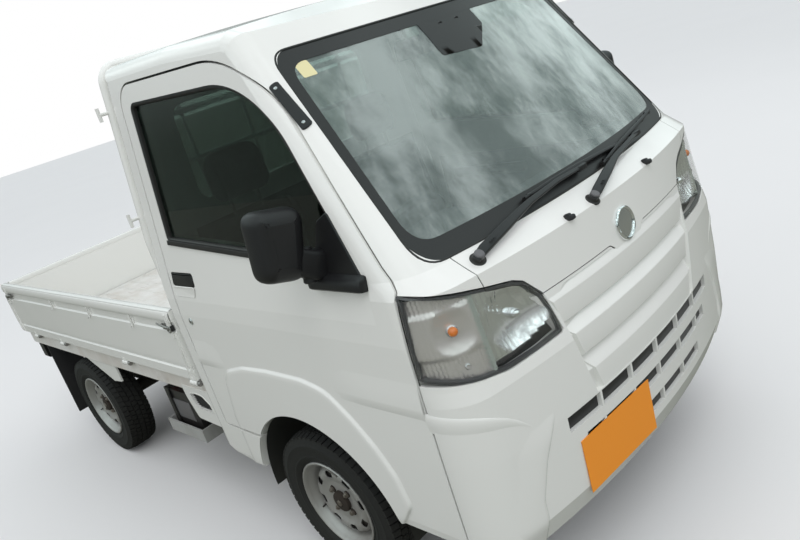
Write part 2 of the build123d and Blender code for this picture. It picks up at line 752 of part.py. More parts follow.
with BuildPart() as wipers:
    for pivot_y, pivot_z, tip_y, tip_z, start_y, start_z, end_y, end_z in WIPER_ROWS:
        with Locations(off_skin(pivot_y, pivot_z, 6)):
            Cylinder(16, 44, rotation=(0, 60, 0))
        with BuildLine() as arm:
            Polyline(off_skin(pivot_y, pivot_z, 24), off_skin(tip_y, tip_z, 30))
        with BuildSketch(Plane(origin=arm.line @ 0, z_dir=arm.line % 0)):
            Rectangle(9, 16)
        sweep()
        with BuildLine() as blade:
            Polyline(off_skin(start_y, start_z, 22), off_skin((start_y + end_y) / 2, (start_z + end_z) / 2, 26),
                     off_skin(end_y, end_z, 22))
        with BuildSketch(Plane(origin=blade.line @ 0, z_dir=blade.line % 0)):
            Rectangle(20, 12)
        sweep(transition=Transition.RIGHT)
    add(CAB_OUT, mode=Mode.SUBTRACT)
wipers.part.label = "wipers"
export_step(wipers.part, "parts/wipers.step")

# Triangular foot of a mirror, in the low front corner of the door window. Each row: X, Z, corner radius.
MIRROR_FOOT_ROWS = (
    (1190, 1074, 4),
    (1400, 1074, 6),
    (1303, 1262, 8),
    (1262, 1240, 10),
)
MIRROR_FOOT_OUT = cab_form(-2.0)
MIRROR_FOOT_FACE = grown(flat_face(Plane.XZ, MIRROR_FOOT_ROWS), -2 * SEAT)

# Mirrors on the doors: triangular foot, arm and head
for side_name, side in SIDES:
    with BuildPart() as mirror:
        extrude(MIRROR_FOOT_FACE, amount=side_cut(side))
        add(DOOR_GLASS_OUT, mode=Mode.SUBTRACT)
        add(MIRROR_FOOT_OUT, mode=Mode.INTERSECT)
        with BuildSketch(Plane.XZ.offset(-side * 716)):
            Polygon((1330, 1096), (1385, 1096), (1345, 1160), (1300, 1190), align=None)
        extrude(amount=-side * 90)
        with BuildSketch(Plane(origin=(MIRROR_X, side * MIRROR_Y, MIRROR_Z), x_dir=(0, 1, 0), z_dir=(-1, 0, 0))):
            RectangleRounded(MIRROR_WIDTH, MIRROR_HEIGHT, 36)
        extrude(amount=-MIRROR_DEPTH, taper=14)
    mirror.part.label = f"mirror_{side_name}"
    export_step(mirror.part, f"parts/mirror_{side_name}.step")

# Chassis: two rails with their rise over the rear axle, cross members and outriggers
RAIL_LINE = (
    (1600, RAIL_FRONT_TOP - 85),
    (1600, RAIL_FRONT_TOP),
    (-300, RAIL_FRONT_TOP),
    (-520, RAIL_REAR_TOP),
    (-1640, RAIL_REAR_TOP),
    (-1640, RAIL_REAR_TOP - 85),
    (-560, RAIL_REAR_TOP - 85),
    (-330, RAIL_FRONT_TOP - 85),
)
# Each row: X, Z, width along X, height.
CROSS_MEMBERS = (
    (1500, 352, 60, 70),
    (1180, 352, 50, 60),
    (300, 375, 50, 40),
    (-230, 375, 50, 40),
    (-640, 515, 50, 60),
    (-1330, 515, 50, 60),
    (-1620, 515, 40, 80),
)
with BuildPart() as chassis_frame:
    for side_name, side in SIDES:
        with BuildSketch(Plane.XZ.offset(-side * (RAIL_Y - RAIL_WIDTH / 2))):
            Polygon(*RAIL_LINE, align=None)
        extrude(amount=-side * RAIL_WIDTH)
    for place_x, place_z, long, tall in CROSS_MEMBERS:
        with Locations((place_x, 0, place_z)):
            Box(long, 2 * RAIL_Y, tall)
    # posts under the cab floor
    for side_name, side in SIDES:
        for place_x in (400, 1400):
            top = FOOT_FLOOR_Z - FLOOR_THICK if place_x > DECK_FRONT_X else SEAT_DECK_Z - FLOOR_THICK
            with Locations((place_x, side * RAIL_Y, RAIL_FRONT_TOP)):
                Cylinder(28, top - SEAT - RAIL_FRONT_TOP, align=(Align.CENTER, Align.CENTER, Align.MIN))
        # arms out to the bumper
        with Locations((1580, side * RAIL_Y, RAIL_FRONT_TOP - 40)):
            Box(skin_x(RAIL_Y + RAIL_WIDTH / 2, RAIL_FRONT_TOP - 70) - PANEL_DEPTH - SEAT - 1580, RAIL_WIDTH - 16, 60,
                align=(Align.MIN, Align.CENTER, Align.CENTER))
    # shelf under the radiator
    with Locations((1500, 0, RADIATOR_Z - 204 - SEAT)):
        Box(RADIATOR_X + 26 - 1500, 300, 20, align=(Align.MIN, Align.CENTER, Align.MAX))
    with Locations((1500, 0, 330)):
        Box(60, 300, RADIATOR_Z - 204 - SEAT - 330, align=(Align.CENTER, Align.CENTER, Align.MIN))
chassis_frame.part.label = "chassis_frame"
export_step(chassis_frame.part, "parts/chassis_frame.step")

# Engine and gearbox as one plain block between the rails
with BuildPart() as engine_block:
    with Locations((ENGINE_X, 0, ENGINE_Z)):
        Box(ENGINE_LONG, 2 * (RAIL_Y - RAIL_WIDTH / 2) - 2 * SEAT, ENGINE_TALL)
    chamfer(engine_block.edges().filter_by(Axis.Y), length=30)
engine_block.part.label = "engine_block"
export_step(engine_block.part, "parts/engine_block.step")

# Rear axle: tube, differential, brake drums, stub pins and the propeller shaft
with BuildPart() as rear_axle:
    with Locations((REAR_AXLE_X, 0, AXLE_Z)):
        Cylinder(34, 2 * (WHEEL_Y - DRUM_IN), rotation=(90, 0, 0))
        Sphere(105)
        Cylinder(STUB_RADIUS, 2 * (WHEEL_Y + HUB_OUT - 8), rotation=(90, 0, 0))
    for side_name, side in SIDES:
        with Locations((REAR_AXLE_X, side * (WHEEL_Y - DRUM_IN), AXLE_Z)):
            Cylinder(115, 36, rotation=(90, 0, 0))
    with BuildLine():
        Line((REAR_AXLE_X + 60, 0, AXLE_Z + 10), (ENGINE_X - ENGINE_LONG / 2 - 5, 0, SHAFT_FRONT_Z))
    with BuildSketch(Plane(origin=(REAR_AXLE_X + 60, 0, AXLE_Z + 10), z_dir=(1, 0, 0.03))):
        Circle(30)
    sweep()
rear_axle.part.label = "rear_axle"
export_step(rear_axle.part, "parts/rear_axle.step")

# Rear leaf springs with their hangers
with BuildPart() as leaf_springs:
    for side_name, side in SIDES:
        with BuildSketch(Plane.XZ.offset(-side * (SPRING_Y - 25))):
            with BuildLine():
                ThreePointArc((REAR_AXLE_X - 470, 395), (REAR_AXLE_X, SPRING_Z), (REAR_AXLE_X + 450, 395))
                Line((REAR_AXLE_X + 450, 395), (REAR_AXLE_X + 450, 403))
                ThreePointArc((REAR_AXLE_X + 450, 403), (REAR_AXLE_X, SPRING_Z + 24), (REAR_AXLE_X - 470, 403))
                Line((REAR_AXLE_X - 470, 403), (REAR_AXLE_X - 470, 395))
            make_face()
        extrude(amount=-side * 50)
        with Locations((REAR_AXLE_X, side * SPRING_Y, SPRING_Z + 20)):
            Box(90, 50, 16, align=(Align.CENTER, Align.CENTER, Align.MIN))
        # eyes and hangers up to the rails
        for place_x in (REAR_AXLE_X - 470, REAR_AXLE_X + 450):
            with Locations((place_x, side * SPRING_Y, 399)):
                Cylinder(18, 50, rotation=(90, 0, 0))
            reach = SPRING_Y - RAIL_Y - RAIL_WIDTH / 2 - SEAT
            with Locations((place_x, side * SPRING_Y, 399)):
                Box(30, reach, 24, align=(Align.CENTER, Align.MAX if side > 0 else Align.MIN, Align.CENTER))
            with Locations((place_x, side * (SPRING_Y - reach + 8), 390)):
                Box(30, 16, 120, align=(Align.CENTER, Align.CENTER, Align.MIN))
leaf_springs.part.label = "leaf_springs"
export_step(leaf_springs.part, "parts/leaf_springs.step")

# Front suspension: lower arms and struts
with BuildPart() as front_suspension:
    for side_name, side in SIDES:
        with BuildSketch(Plane.XY.offset(190)):
            Polygon(
                (FRONT_AXLE_X - 20, side * (KINGPIN_Y + 20)),
                (FRONT_AXLE_X + 20, side * (KINGPIN_Y + 20)),
                (FRONT_AXLE_X + 60, side * 330),
                (FRONT_AXLE_X - 180, side * 330),
                align=None,
            )
        extrude(amount=22)
        with Locations((FRONT_AXLE_X - 60, side * 345, 205)):
            Box(200, 30, 60)
        with Locations((FRONT_AXLE_X - 60, side * 345, 225)):
            Box(40, 30, RAIL_FRONT_TOP - 85 - SEAT - 225, align=(Align.CENTER, Align.CENTER, Align.MIN))
        with Locations((FRONT_AXLE_X, side * KINGPIN_Y, KNUCKLE_TOP_Z + 2)):
            Cylinder(12, SPRING_SEAT_Z - KNUCKLE_TOP_Z, align=(Align.CENTER, Align.CENTER, Align.MIN))
        with Locations((FRONT_AXLE_X, side * KINGPIN_Y, SPRING_SEAT_Z)):
            Cylinder(42, SEAT_DECK_Z - FLOOR_THICK - SEAT - SPRING_SEAT_Z, align=(Align.CENTER, Align.CENTER, Align.MIN))
        # kingpin through the knuckle
        with Locations((FRONT_AXLE_X, side * KINGPIN_Y, 195)):
            Cylinder(KINGPIN_RADIUS, KNUCKLE_TOP_Z - 195 + 10, align=(Align.CENTER, Align.CENTER, Align.MIN))
front_suspension.part.label = "front_suspension"
export_step(front_suspension.part, "parts/front_suspension.step")

# Steering knuckles: upright with its kingpin bore, steering arm, brake disc and stub pin
for side_name, side in SIDES:
    with BuildPart() as knuckle:
        with Locations((FRONT_AXLE_X, side * KINGPIN_Y, KNUCKLE_BASE_Z)):
            Cylinder(30, KNUCKLE_TOP_Z - KNUCKLE_BASE_Z, align=(Align.CENTER, Align.CENTER, Align.MIN))
        with Locations((FRONT_AXLE_X, side * KINGPIN_Y, AXLE_Z)):
            Cylinder(38, 60, rotation=(90, 0, 0))
        with Locations((FRONT_AXLE_X, side * (KINGPIN_Y + WHEEL_Y - DISC_IN) / 2, AXLE_Z)):
            Cylinder(32, WHEEL_Y - DISC_IN - KINGPIN_Y, rotation=(90, 0, 0))
        with Locations((FRONT_AXLE_X, side * (WHEEL_Y - DISC_IN), AXLE_Z)):
            Cylinder(118, 14, rotation=(90, 0, 0))
        with Locations((FRONT_AXLE_X, side * (KINGPIN_Y + WHEEL_Y + HUB_OUT - 8) / 2, AXLE_Z)):
            Cylinder(STUB_RADIUS, WHEEL_Y + HUB_OUT - 8 - KINGPIN_Y, rotation=(90, 0, 0))
        with Locations((FRONT_AXLE_X - 75, side * (KINGPIN_Y - 12), AXLE_Z - 10)):
            Box(150, 18, 16)
        with Locations((FRONT_AXLE_X, side * KINGPIN_Y, 180)):
            Cylinder(KINGPIN_RADIUS + RUNNING_GAP, 400, mode=Mode.SUBTRACT)
    knuckle.part.label = f"knuckle_{side_name}"
    export_step(knuckle.part, f"parts/knuckle_{side_name}.step")

# Wheels: pressed steel rims with a ring of round holes, and the tyres on them
WHEELS = (
    ("front_right", FRONT_AXLE_X, -1),
    ("front_left", FRONT_AXLE_X, 1),
    ("rear_right", REAR_AXLE_X, -1),
    ("rear_left", REAR_AXLE_X, 1),
)
# Half section of the rim. Each row: distance from the axle, distance outwards from the wheel's middle.
RIM_SECTION = (
    (STUB_RADIUS + RUNNING_GAP, -HUB_IN),
    (30, -HUB_IN),
    (30, 22),
    (58, 24),
    (78, 10),
    (112, 18),
    (RIM_RADIUS - 26, 6),
    (RIM_RADIUS - 20, -26),
    (RIM_RADIUS - 5, -42),
    (RIM_RADIUS - 4, -BEAD_OUT - 6),
    (RIM_RADIUS + FLANGE, -BEAD_OUT - 6),
    (RIM_RADIUS + FLANGE, -BEAD_OUT - 2),
    (RIM_RADIUS, -BEAD_OUT),
    (RIM_RADIUS, -42),
    (RIM_RADIUS - 16, -26),
    (RIM_RADIUS - 16, 16),
    (RIM_RADIUS, 32),
    (RIM_RADIUS, BEAD_OUT),
    (RIM_RADIUS + FLANGE, BEAD_OUT + 2),
    (RIM_RADIUS + FLANGE, BEAD_OUT + 6),
    (RIM_RADIUS - 4, BEAD_OUT + 6),
    (RIM_RADIUS - 5, 34),
    (RIM_RADIUS - 19, 19),
    (RIM_RADIUS - 26, 14),
    (114, 26),
    (78, 18),
    (62, 33),
    (38, 35),
    (36, HUB_OUT - 4),
    (STUB_RADIUS + RUNNING_GAP, HUB_OUT - 4),
)
# Half section of the tyre, in the same columns.
TYRE_SECTION = (
    (RIM_RADIUS + SEAT, -BEAD_OUT + 1.5),
    (RIM_RADIUS + FLANGE + 2, -BEAD_OUT - 1.5),
    (RIM_RADIUS + 62, -TYRE_WIDTH / 2),
    (TYRE_RADIUS - 22, -TYRE_WIDTH / 2 + 5),
    (TYRE_RADIUS - 4, -58),
    (TYRE_RADIUS, -40),
    (TYRE_RADIUS, 40),
    (TYRE_RADIUS - 4, 58),
    (TYRE_RADIUS - 22, TYRE_WIDTH / 2 - 5),
    (RIM_RADIUS + 62, TYRE_WIDTH / 2),
    (RIM_RADIUS + FLANGE + 2, BEAD_OUT + 1.5),
    (RIM_RADIUS + SEAT, BEAD_OUT - 1.5),
)
for wheel_name, axle_x, side in WHEELS:
    axle = Axis((axle_x, side * WHEEL_Y, AXLE_Z), (0, side, 0))
    with BuildPart() as rim:
        with BuildSketch(Plane.YZ.offset(axle_x)):
            with BuildLine():
                Polyline([(side * (WHEEL_Y + out), AXLE_Z + up) for up, out in RIM_SECTION], close=True)
            make_face()
        revolve(axis=axle)
        with Locations(Plane(origin=(axle_x, side * WHEEL_Y, AXLE_Z), x_dir=(1, 0, 0), z_dir=(0, side, 0))):
            with PolarLocations(RIM_HOLE_RING, RIM_HOLES):
                Cylinder(RIM_HOLE_RADIUS, 200, mode=Mode.SUBTRACT)
    rim.part.label = f"rim_{wheel_name}"
    export_step(rim.part, f"parts/rim_{wheel_name}.step")

    with BuildPart() as tyre:
        with BuildSketch(Plane.YZ.offset(axle_x)):
            with BuildLine():
                Polyline([(side * WHEEL_Y + out, AXLE_Z + up) for up, out in TYRE_SECTION], close=True)
            make_face()
        revolve(axis=axle)
    tyre.part.label = f"tyre_{wheel_name}"
    export_step(tyre.part, f"parts/tyre_{wheel_name}.step")

# Fuel tank on the left between the cab and the rear wheel
with BuildPart() as fuel_tank:
    with Locations((-120, 520, 380)):
        Box(520, 300, 190)
    fillet(fuel_tank.edges().filter_by(Axis.X), radius=35)
    with Locations((-260, 385, 420), (20, 385, 420)):
        Box(30, 2 * (385 - RAIL_Y - RAIL_WIDTH / 2 - SEAT), 60)
fuel_tank.part.label = "fuel_tank"
export_step(fuel_tank.part, "parts/fuel_tank.step")

# Exhaust: pipe from the engine, silencer and tail pipe, with two hangers on a cross member
with BuildPart() as exhaust:
    with Locations((-470, 175, 300)):
        Cylinder(78, 350, rotation=(0, 90, 0))
    with BuildLine() as pipe:
        FilletPolyline(
            (ENGINE_X - ENGINE_LONG / 2 - SEAT, 175, 300),
            (-640, 175, 300),
            (-760, 175, 400),
            (-1240, 175, 400),
            (-1360, 230, 330),
            (-1630, 230, 330),
            radius=60,
        )
    with BuildSketch(Plane(origin=pipe.line @ 0, z_dir=pipe.line % 0)):
        Circle(20)
    sweep()
    for place_x, place_y, top, low in ((-230, 175, 355, 305), (-640, 200, 485, 310), (-1330, 200, 485, 330)):
        with Locations((place_x, place_y, low)):
            Cylinder(6, top - SEAT - low, align=(Align.CENTER, Align.CENTER, Align.MIN))
exhaust.part.label = "exhaust"
export_step(exhaust.part, "parts/exhaust.step")

# Battery on its open tray, right side behind the cab
with BuildPart() as battery_tray:
    with Locations((BATTERY_X, -BATTERY_Y, BATTERY_BASE_Z)):
        Box(300, 190, 8, align=(Align.CENTER, Align.CENTER, Align.MAX))
        with Locations((0, -95, -8)):
            Box(300, 6, 60, align=(Align.CENTER, Align.MIN, Align.MIN))
        for shift in (-147, 147):
            with Locations((shift, 0, -8)):
                Box(6, 190, 60, align=(Align.CENTER, Align.CENTER, Align.MIN))
    inner = RAIL_Y + RAIL_WIDTH / 2 + SEAT
    for shift in (-110, 110):
        with Locations((BATTERY_X + shift, -inner, BATTERY_BASE_Z - 8)):
            Box(30, BATTERY_Y + 95 - inner - 2, 8, align=(Align.CENTER, Align.MAX, Align.MIN))
        with Locations((BATTERY_X + shift, -inner, BATTERY_BASE_Z - 8)):
            Box(30, 8, 120, align=(Align.CENTER, Align.MAX, Align.MIN))
battery_tray.part.label = "battery_tray"
export_step(battery_tray.part, "parts/battery_tray.step")

with BuildPart() as battery:
    with Locations((BATTERY_X, -BATTERY_Y - 4, BATTERY_BASE_Z + SEAT)):
        Box(240, 130, 200, align=(Align.CENTER, Align.CENTER, Align.MIN))
        for shift in (-85, 85):
            with Locations((shift, -35, 200)):
                Cylinder(9, 16, align=(Align.CENTER, Align.CENTER, Align.MIN))
battery.part.label = "battery"
export_step(battery.part, "parts/battery.step")

# Bed floor: deck, side sills with the hinge ears, cross sills down to the rails
BED_LENGTH = BED_FRONT_X - BED_TAIL_X
GATE_LENGTH = BED_LENGTH
SIDE_HINGE_X = (254.0, -347.0, -1100.0, -1492.0)
REAR_HINGE_Y = (-480.0, 0.0, 480.0)
SIDE_AXIS_Y = BED_HALF_WIDTH - HINGE_RADIUS
REAR_AXIS_X = BED_TAIL_X + HINGE_RADIUS
HINGE_Z = GATE_BOTTOM_Z - HINGE_DROP
BARREL_LENGTH = 44.0
EAR_THICK = 6.0
CROSS_SILL_DEPTH = 60.0
TAIL_UNDER_Z = BED_TOP_Z - BED_FLOOR_THICK - CROSS_SILL_DEPTH
# Each row: X of a cross sill, width, depth under the deck.
CROSS_SILLS = (
    (262, 40, CROSS_SILL_DEPTH),
    (-20, 50, CROSS_SILL_DEPTH),
    (-300, 50, CROSS_SILL_DEPTH),
    (-640, 50, CROSS_SILL_DEPTH),
    (-960, 50, CROSS_SILL_DEPTH),
    (-1300, 50, CROSS_SILL_DEPTH),
    (-1620, 50, CROSS_SILL_DEPTH),
)
with BuildPart() as bed_floor:
    deck_half = BED_HALF_WIDTH - GATE_THICK - MOVING_GAP
    # the deck stops short of the guard frame, which stands on the sills
    deck_front = GUARD_X - GUARD_TUBE - 1
    deck_long = deck_front - BED_TAIL_X - GATE_THICK - MOVING_GAP
    sill_top = GATE_BOTTOM_Z - SILL_GAP
    with Locations((deck_front, 0, BED_TOP_Z)):
        Box(deck_long, 2 * deck_half, BED_FLOOR_THICK, align=(Align.MAX, Align.CENTER, Align.MAX))
    deck_base = BED_TOP_Z - BED_FLOOR_THICK
    for side_name, side in SIDES:
        with Locations((BED_FRONT_X, side * (BED_HALF_WIDTH - SILL_INSET - SILL_WIDTH / 2), sill_top)):
            Box(BED_LENGTH - SILL_INSET, SILL_WIDTH, SILL_HEIGHT, align=(Align.MAX, Align.CENTER, Align.MAX))
    with Locations((BED_TAIL_X + SILL_INSET, 0, sill_top)):
        Box(SILL_WIDTH, 2 * (BED_HALF_WIDTH - SILL_INSET), SILL_HEIGHT, align=(Align.MIN, Align.CENTER, Align.MAX))
    for place_x, long, tall in CROSS_SILLS:
        with Locations((place_x, 0, deck_base)):
            Box(long, 2 * (deck_half - SILL_WIDTH / 3), tall, align=(Align.CENTER, Align.CENTER, Align.MAX))
    # bearers along the rails, down to their top
    for side_name, side in SIDES:
        with Locations((BED_FRONT_X - 20, side * RAIL_Y, deck_base)):
            Box(560, 50, deck_base - RAIL_FRONT_TOP - SEAT, align=(Align.MAX, Align.CENTER, Align.MAX))
        with Locations((-540, side * RAIL_Y, deck_base)):
            Box(1080, 50, deck_base - RAIL_REAR_TOP - SEAT, align=(Align.MAX, Align.CENTER, Align.MAX))
    # hinge ears and pins
    for side_name, side in SIDES:
        for place_x in SIDE_HINGE_X:
            for shift in (-1, 1):
                with Locations((place_x + shift * (BARREL_LENGTH / 2 + 1 + EAR_THICK / 2), side * SIDE_AXIS_Y, HINGE_Z)):
                    Cylinder(HINGE_RADIUS, EAR_THICK, rotation=(0, 90, 0))
                    with Locations((0, -side * SILL_INSET / 2, 0)):
                        Box(EAR_THICK, SILL_INSET, 2 * HINGE_RADIUS)
            with Locations((place_x, side * SIDE_AXIS_Y, HINGE_Z)):
                Cylinder(HINGE_PIN_RADIUS, BARREL_LENGTH + 8, rotation=(0, 90, 0))
    for place_y in REAR_HINGE_Y:
        for shift in (-1, 1):
            with Locations((REAR_AXIS_X, place_y + shift * (BARREL_LENGTH / 2 + 1 + EAR_THICK / 2), HINGE_Z)):
                Cylinder(HINGE_RADIUS, EAR_THICK, rotation=(90, 0, 0))
                with Locations((SILL_INSET / 2, 0, 0)):
                    Box(SILL_INSET, EAR_THICK, 2 * HINGE_RADIUS)
        with Locations((REAR_AXIS_X, place_y, HINGE_Z)):
            Cylinder(HINGE_PIN_RADIUS, BARREL_LENGTH + 8, rotation=(90, 0, 0))
bed_floor.part.label = "bed_floor"
export_step(bed_floor.part, "parts/bed_floor.step")

# Outer face of a drop gate, from its top rail down. Each row: height above the gate's lower edge, inset.
GATE_FACE_ROWS = (
    (285, 0),
    (244, 0),
    (240, 7),
    (208, 7),
    (202, 1),
    (62, 1),
    (57, 7),
    (43, 7),
    (38, 1),
    (0, 1),
)
GATE_INNER_ROWS = (
    (0, 30),
    (255, 30),
    (258, 24),
    (272, 24),
    (275, 30),
    (285, 30),
)
GATE_STRAP_X = (-971.0, -511.0, -73.0)

# Side gates
for side_name, side in SIDES:
    with BuildPart() as side_gate:
        with BuildSketch(Plane.YZ.offset(BED_TAIL_X)):
            with BuildLine():
                Polyline(
                    [(side * (BED_HALF_WIDTH - inset), GATE_BOTTOM_Z + up)
                     for up, inset in GATE_FACE_ROWS + GATE_INNER_ROWS],
                    close=True,
                )
            make_face()
        extrude(amount=GATE_LENGTH)
        for place_x in GATE_STRAP_X:
            with Locations((place_x, side * (BED_HALF_WIDTH - 8), GATE_BOTTOM_Z + 202)):
                Box(32, 16, 50, align=(Align.CENTER, Align.CENTER, Align.MIN))
        for place_x in SIDE_HINGE_X:
            with Locations((place_x, side * SIDE_AXIS_Y, HINGE_Z)):
                Cylinder(HINGE_RADIUS, BARREL_LENGTH, rotation=(0, 90, 0))
            with Locations((place_x, side * SIDE_AXIS_Y, HINGE_Z)):
                Box(BARREL_LENGTH, 2 * HINGE_RADIUS - 2, HINGE_DROP + 4, align=(Align.CENTER, Align.CENTER, Align.MIN))
            with Locations((place_x, side * SIDE_AXIS_Y, HINGE_Z)):
                Cylinder(HINGE_PIN_RADIUS + RUNNING_GAP, BARREL_LENGTH + 2, rotation=(0, 90, 0), mode=Mode.SUBTRACT)
        # latch levers at both ends
        for place_x in (BED_FRONT_X - 26, BED_TAIL_X + 46):
            with Locations((place_x, side * (BED_HALF_WIDTH + 3), GATE_TOP_Z - 58)):
                Box(16, 10, 92)
    side_gate.part.label = f"side_gate_{side_name}"
    export_step(side_gate.part, f"parts/side_gate_{side_name}.step")

# Rear gate, between the side gates
with BuildPart() as rear_gate:
    with BuildSketch(Plane.XZ.offset(-REAR_GATE_HALF)):
        with BuildLine():
            Polyline(
                [(BED_TAIL_X + inset, GATE_BOTTOM_Z + up) for up, inset in GATE_FACE_ROWS + GATE_INNER_ROWS],
                close=True,
            )
        make_face()
    extrude(amount=2 * REAR_GATE_HALF)
    for place_y in REAR_HINGE_Y:
        with Locations((REAR_AXIS_X, place_y, HINGE_Z)):
            Cylinder(HINGE_RADIUS, BARREL_LENGTH, rotation=(90, 0, 0))
        with Locations((REAR_AXIS_X, place_y, HINGE_Z)):
            Box(2 * HINGE_RADIUS - 2, BARREL_LENGTH, HINGE_DROP + 4, align=(Align.CENTER, Align.CENTER, Align.MIN))
        with Locations((REAR_AXIS_X, place_y, HINGE_Z)):
            Cylinder(HINGE_PIN_RADIUS + RUNNING_GAP, BARREL_LENGTH + 2, rotation=(90, 0, 0), mode=Mode.SUBTRACT)
rear_gate.part.label = "rear_gate"
export_step(rear_gate.part, "parts/rear_gate.step")

# Guard frame behind the cab: posts that follow the cab's side, top bars, window bars and the front board
with BuildPart() as guard_frame:
    with BuildLine() as hoop:
        FilletPolyline(
            (GUARD_X, -GUARD_HALF, sill_top + SEAT),
            (GUARD_X, -GUARD_HALF, 1180),
            (GUARD_X, -612, HEIGHT - GUARD_TUBE),
            (GUARD_X, 612, HEIGHT - GUARD_TUBE),
            (GUARD_X, GUARD_HALF, 1180),
            (GUARD_X, GUARD_HALF, sill_top + SEAT),
            radius=[150, 60, 60, 150],
        )
    with BuildSketch(Plane(origin=hoop.line @ 0, z_dir=hoop.line % 0)):
        Circle(GUARD_TUBE)
    sweep()
    for height, half in ((HEIGHT - 58, 618), (1560, 632), (1390, 656), (1220, 684)):
        with Locations((GUARD_X, 0, height)):
            Cylinder(11, 2 * half, rotation=(90, 0, 0))
    for place_y in (-390, -130, 130, 390):
        with Locations((GUARD_X, place_y, 920)):
            Cylinder(8, HEIGHT - 58 - 920, align=(Align.CENTER, Align.CENTER, Align.MIN))
    with Locations((GUARD_X, 0, deck_base + SEAT)):
        Box(GUARD_BOARD_THICK, 2 * GUARD_BOARD_HALF, GATE_TOP_Z - deck_base - SEAT,
            align=(Align.CENTER, Align.CENTER, Align.MIN))
    # rope hooks on the posts
    for side_name, side in SIDES:
        for place_y, height in ((633, 1625), (678, 1270)):
            with Locations((GUARD_X - 2, side * (place_y + 22), height)):
                Cylinder(6, 44, rotation=(90, 0, 0))
                with Locations((0, side * 20, 0)):
                    Cylinder(6, 46)
guard_frame.part.label = "guard_frame"
export_step(guard_frame.part, "parts/guard_frame.step")

# Rear lamps under the bed's tail, one each side
with BuildPart() as rear_lamps:
    for side_name, side in SIDES:
        with Locations((TAIL_X + 51, side * 560, TAIL_UNDER_Z - SEAT)):
            Box(60, 280, 110, align=(Align.CENTER, Align.CENTER, Align.MAX))
    fillet(rear_lamps.edges().filter_by(Axis.X), radius=16)
rear_lamps.part.label = "rear_lamps"
export_step(rear_lamps.part, "parts/rear_lamps.step")

# Rear bar below the tail, on two arms from the rails
REAR_BAR_Z = 420.0
with BuildPart() as rear_bar:
    with Locations((TAIL_X + 60, 0, REAR_BAR_Z)):
        Box(50, 1080, 70)
    for side_name, side in SIDES:
        with Locations((TAIL_X + 70, side * RAIL_Y, RAIL_REAR_TOP - 85 - SEAT)):
            Box(60, 50, 60, align=(Align.CENTER, Align.CENTER, Align.MAX))
rear_bar.part.label = "rear_bar"
export_step(rear_bar.part, "parts/rear_bar.step")

# Mud flaps and splash guards of the rear wheels
with BuildPart() as mud_flaps:
    for side_name, side in SIDES:
        with BuildSketch(Plane.YZ.offset(REAR_AXLE_X - 440)):
            Polygon((side * 580, TAIL_UNDER_Z - SEAT), (side * 724, TAIL_UNDER_Z - SEAT), (side * 724, 150), (side * 580, 150), align=None)
        extrude(amount=8)
mud_flaps.part.label = "mud_flaps"
export_step(mud_flaps.part, "parts/mud_flaps.step")

with BuildPart() as splash_guards:
    for side_name, side in SIDES:
        with BuildSketch(Plane.XZ.offset(-side * 700)):
            Polygon(
                (REAR_AXLE_X + 60, TAIL_UNDER_Z - SEAT),
                (REAR_AXLE_X + 420, TAIL_UNDER_Z - SEAT),
                (REAR_AXLE_X + 420, 480),
                (REAR_AXLE_X + 330, 470),
                align=None,
            )
        extrude(amount=-side * 8)
splash_guards.part.label = "splash_guards"
export_step(splash_guards.part, "parts/splash_guards.step")

# Blank number plates, front and rear
with BuildPart() as number_plates:
    with Locations(PLATE_PLANE):
        Box(PLATE_HEIGHT, PLATE_WIDTH, 2)
    with Locations((TAIL_X + 60 - 25 - SEAT - 1, 0, REAR_BAR_Z)):
        Box(2, PLATE_WIDTH, PLATE_HEIGHT)
number_plates.part.label = "number_plates"
export_step(number_plates.part, "parts/number_plates.step")
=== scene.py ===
"""Looks of the kei truck: finishes for its solids, and the fine pieces that dress them."""

import json
import logging
import math
from dataclasses import dataclass
from enum import Enum
from typing import Callable, Iterable, Sequence

import bmesh
import bpy
from mathutils import Matrix, Vector, geometry

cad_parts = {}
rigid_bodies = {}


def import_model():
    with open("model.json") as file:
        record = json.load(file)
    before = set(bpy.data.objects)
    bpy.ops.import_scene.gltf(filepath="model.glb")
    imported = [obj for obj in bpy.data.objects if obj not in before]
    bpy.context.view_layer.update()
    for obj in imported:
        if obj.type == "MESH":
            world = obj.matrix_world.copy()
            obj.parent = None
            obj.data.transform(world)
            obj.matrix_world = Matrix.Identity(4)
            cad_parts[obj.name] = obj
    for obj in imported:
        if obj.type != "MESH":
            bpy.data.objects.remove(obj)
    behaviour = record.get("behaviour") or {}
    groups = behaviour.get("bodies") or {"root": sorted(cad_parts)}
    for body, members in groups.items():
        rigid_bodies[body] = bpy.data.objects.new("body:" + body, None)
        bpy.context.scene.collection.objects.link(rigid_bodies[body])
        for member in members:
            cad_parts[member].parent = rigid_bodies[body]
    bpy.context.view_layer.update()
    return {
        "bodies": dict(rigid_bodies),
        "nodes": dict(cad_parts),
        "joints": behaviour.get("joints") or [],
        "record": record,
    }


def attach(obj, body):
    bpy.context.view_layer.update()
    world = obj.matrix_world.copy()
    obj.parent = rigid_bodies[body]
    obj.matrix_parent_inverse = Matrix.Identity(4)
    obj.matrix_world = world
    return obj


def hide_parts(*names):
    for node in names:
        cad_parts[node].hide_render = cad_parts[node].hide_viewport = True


LOG = logging.getLogger("kei_truck")
MM = 0.001
Row = tuple[float, ...]
Colour = tuple[float, float, float]
# Each row: the side's name and the sign of its Y.
SIDES = (("right", -1), ("left", 1))


class Slot(Enum):
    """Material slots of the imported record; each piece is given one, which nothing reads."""

    BODY = "body_white"
    LAMP = "lamp"
    RED_LAMP = "lamp_red"
    BLACK = "black_plastic"
    SEAT = "seat_cover"
    SILVER = "wheel_silver"
    TYRE = "tyre"
    PLATE = "plate_yellow"
    STEEL = "steel"


# Node trees

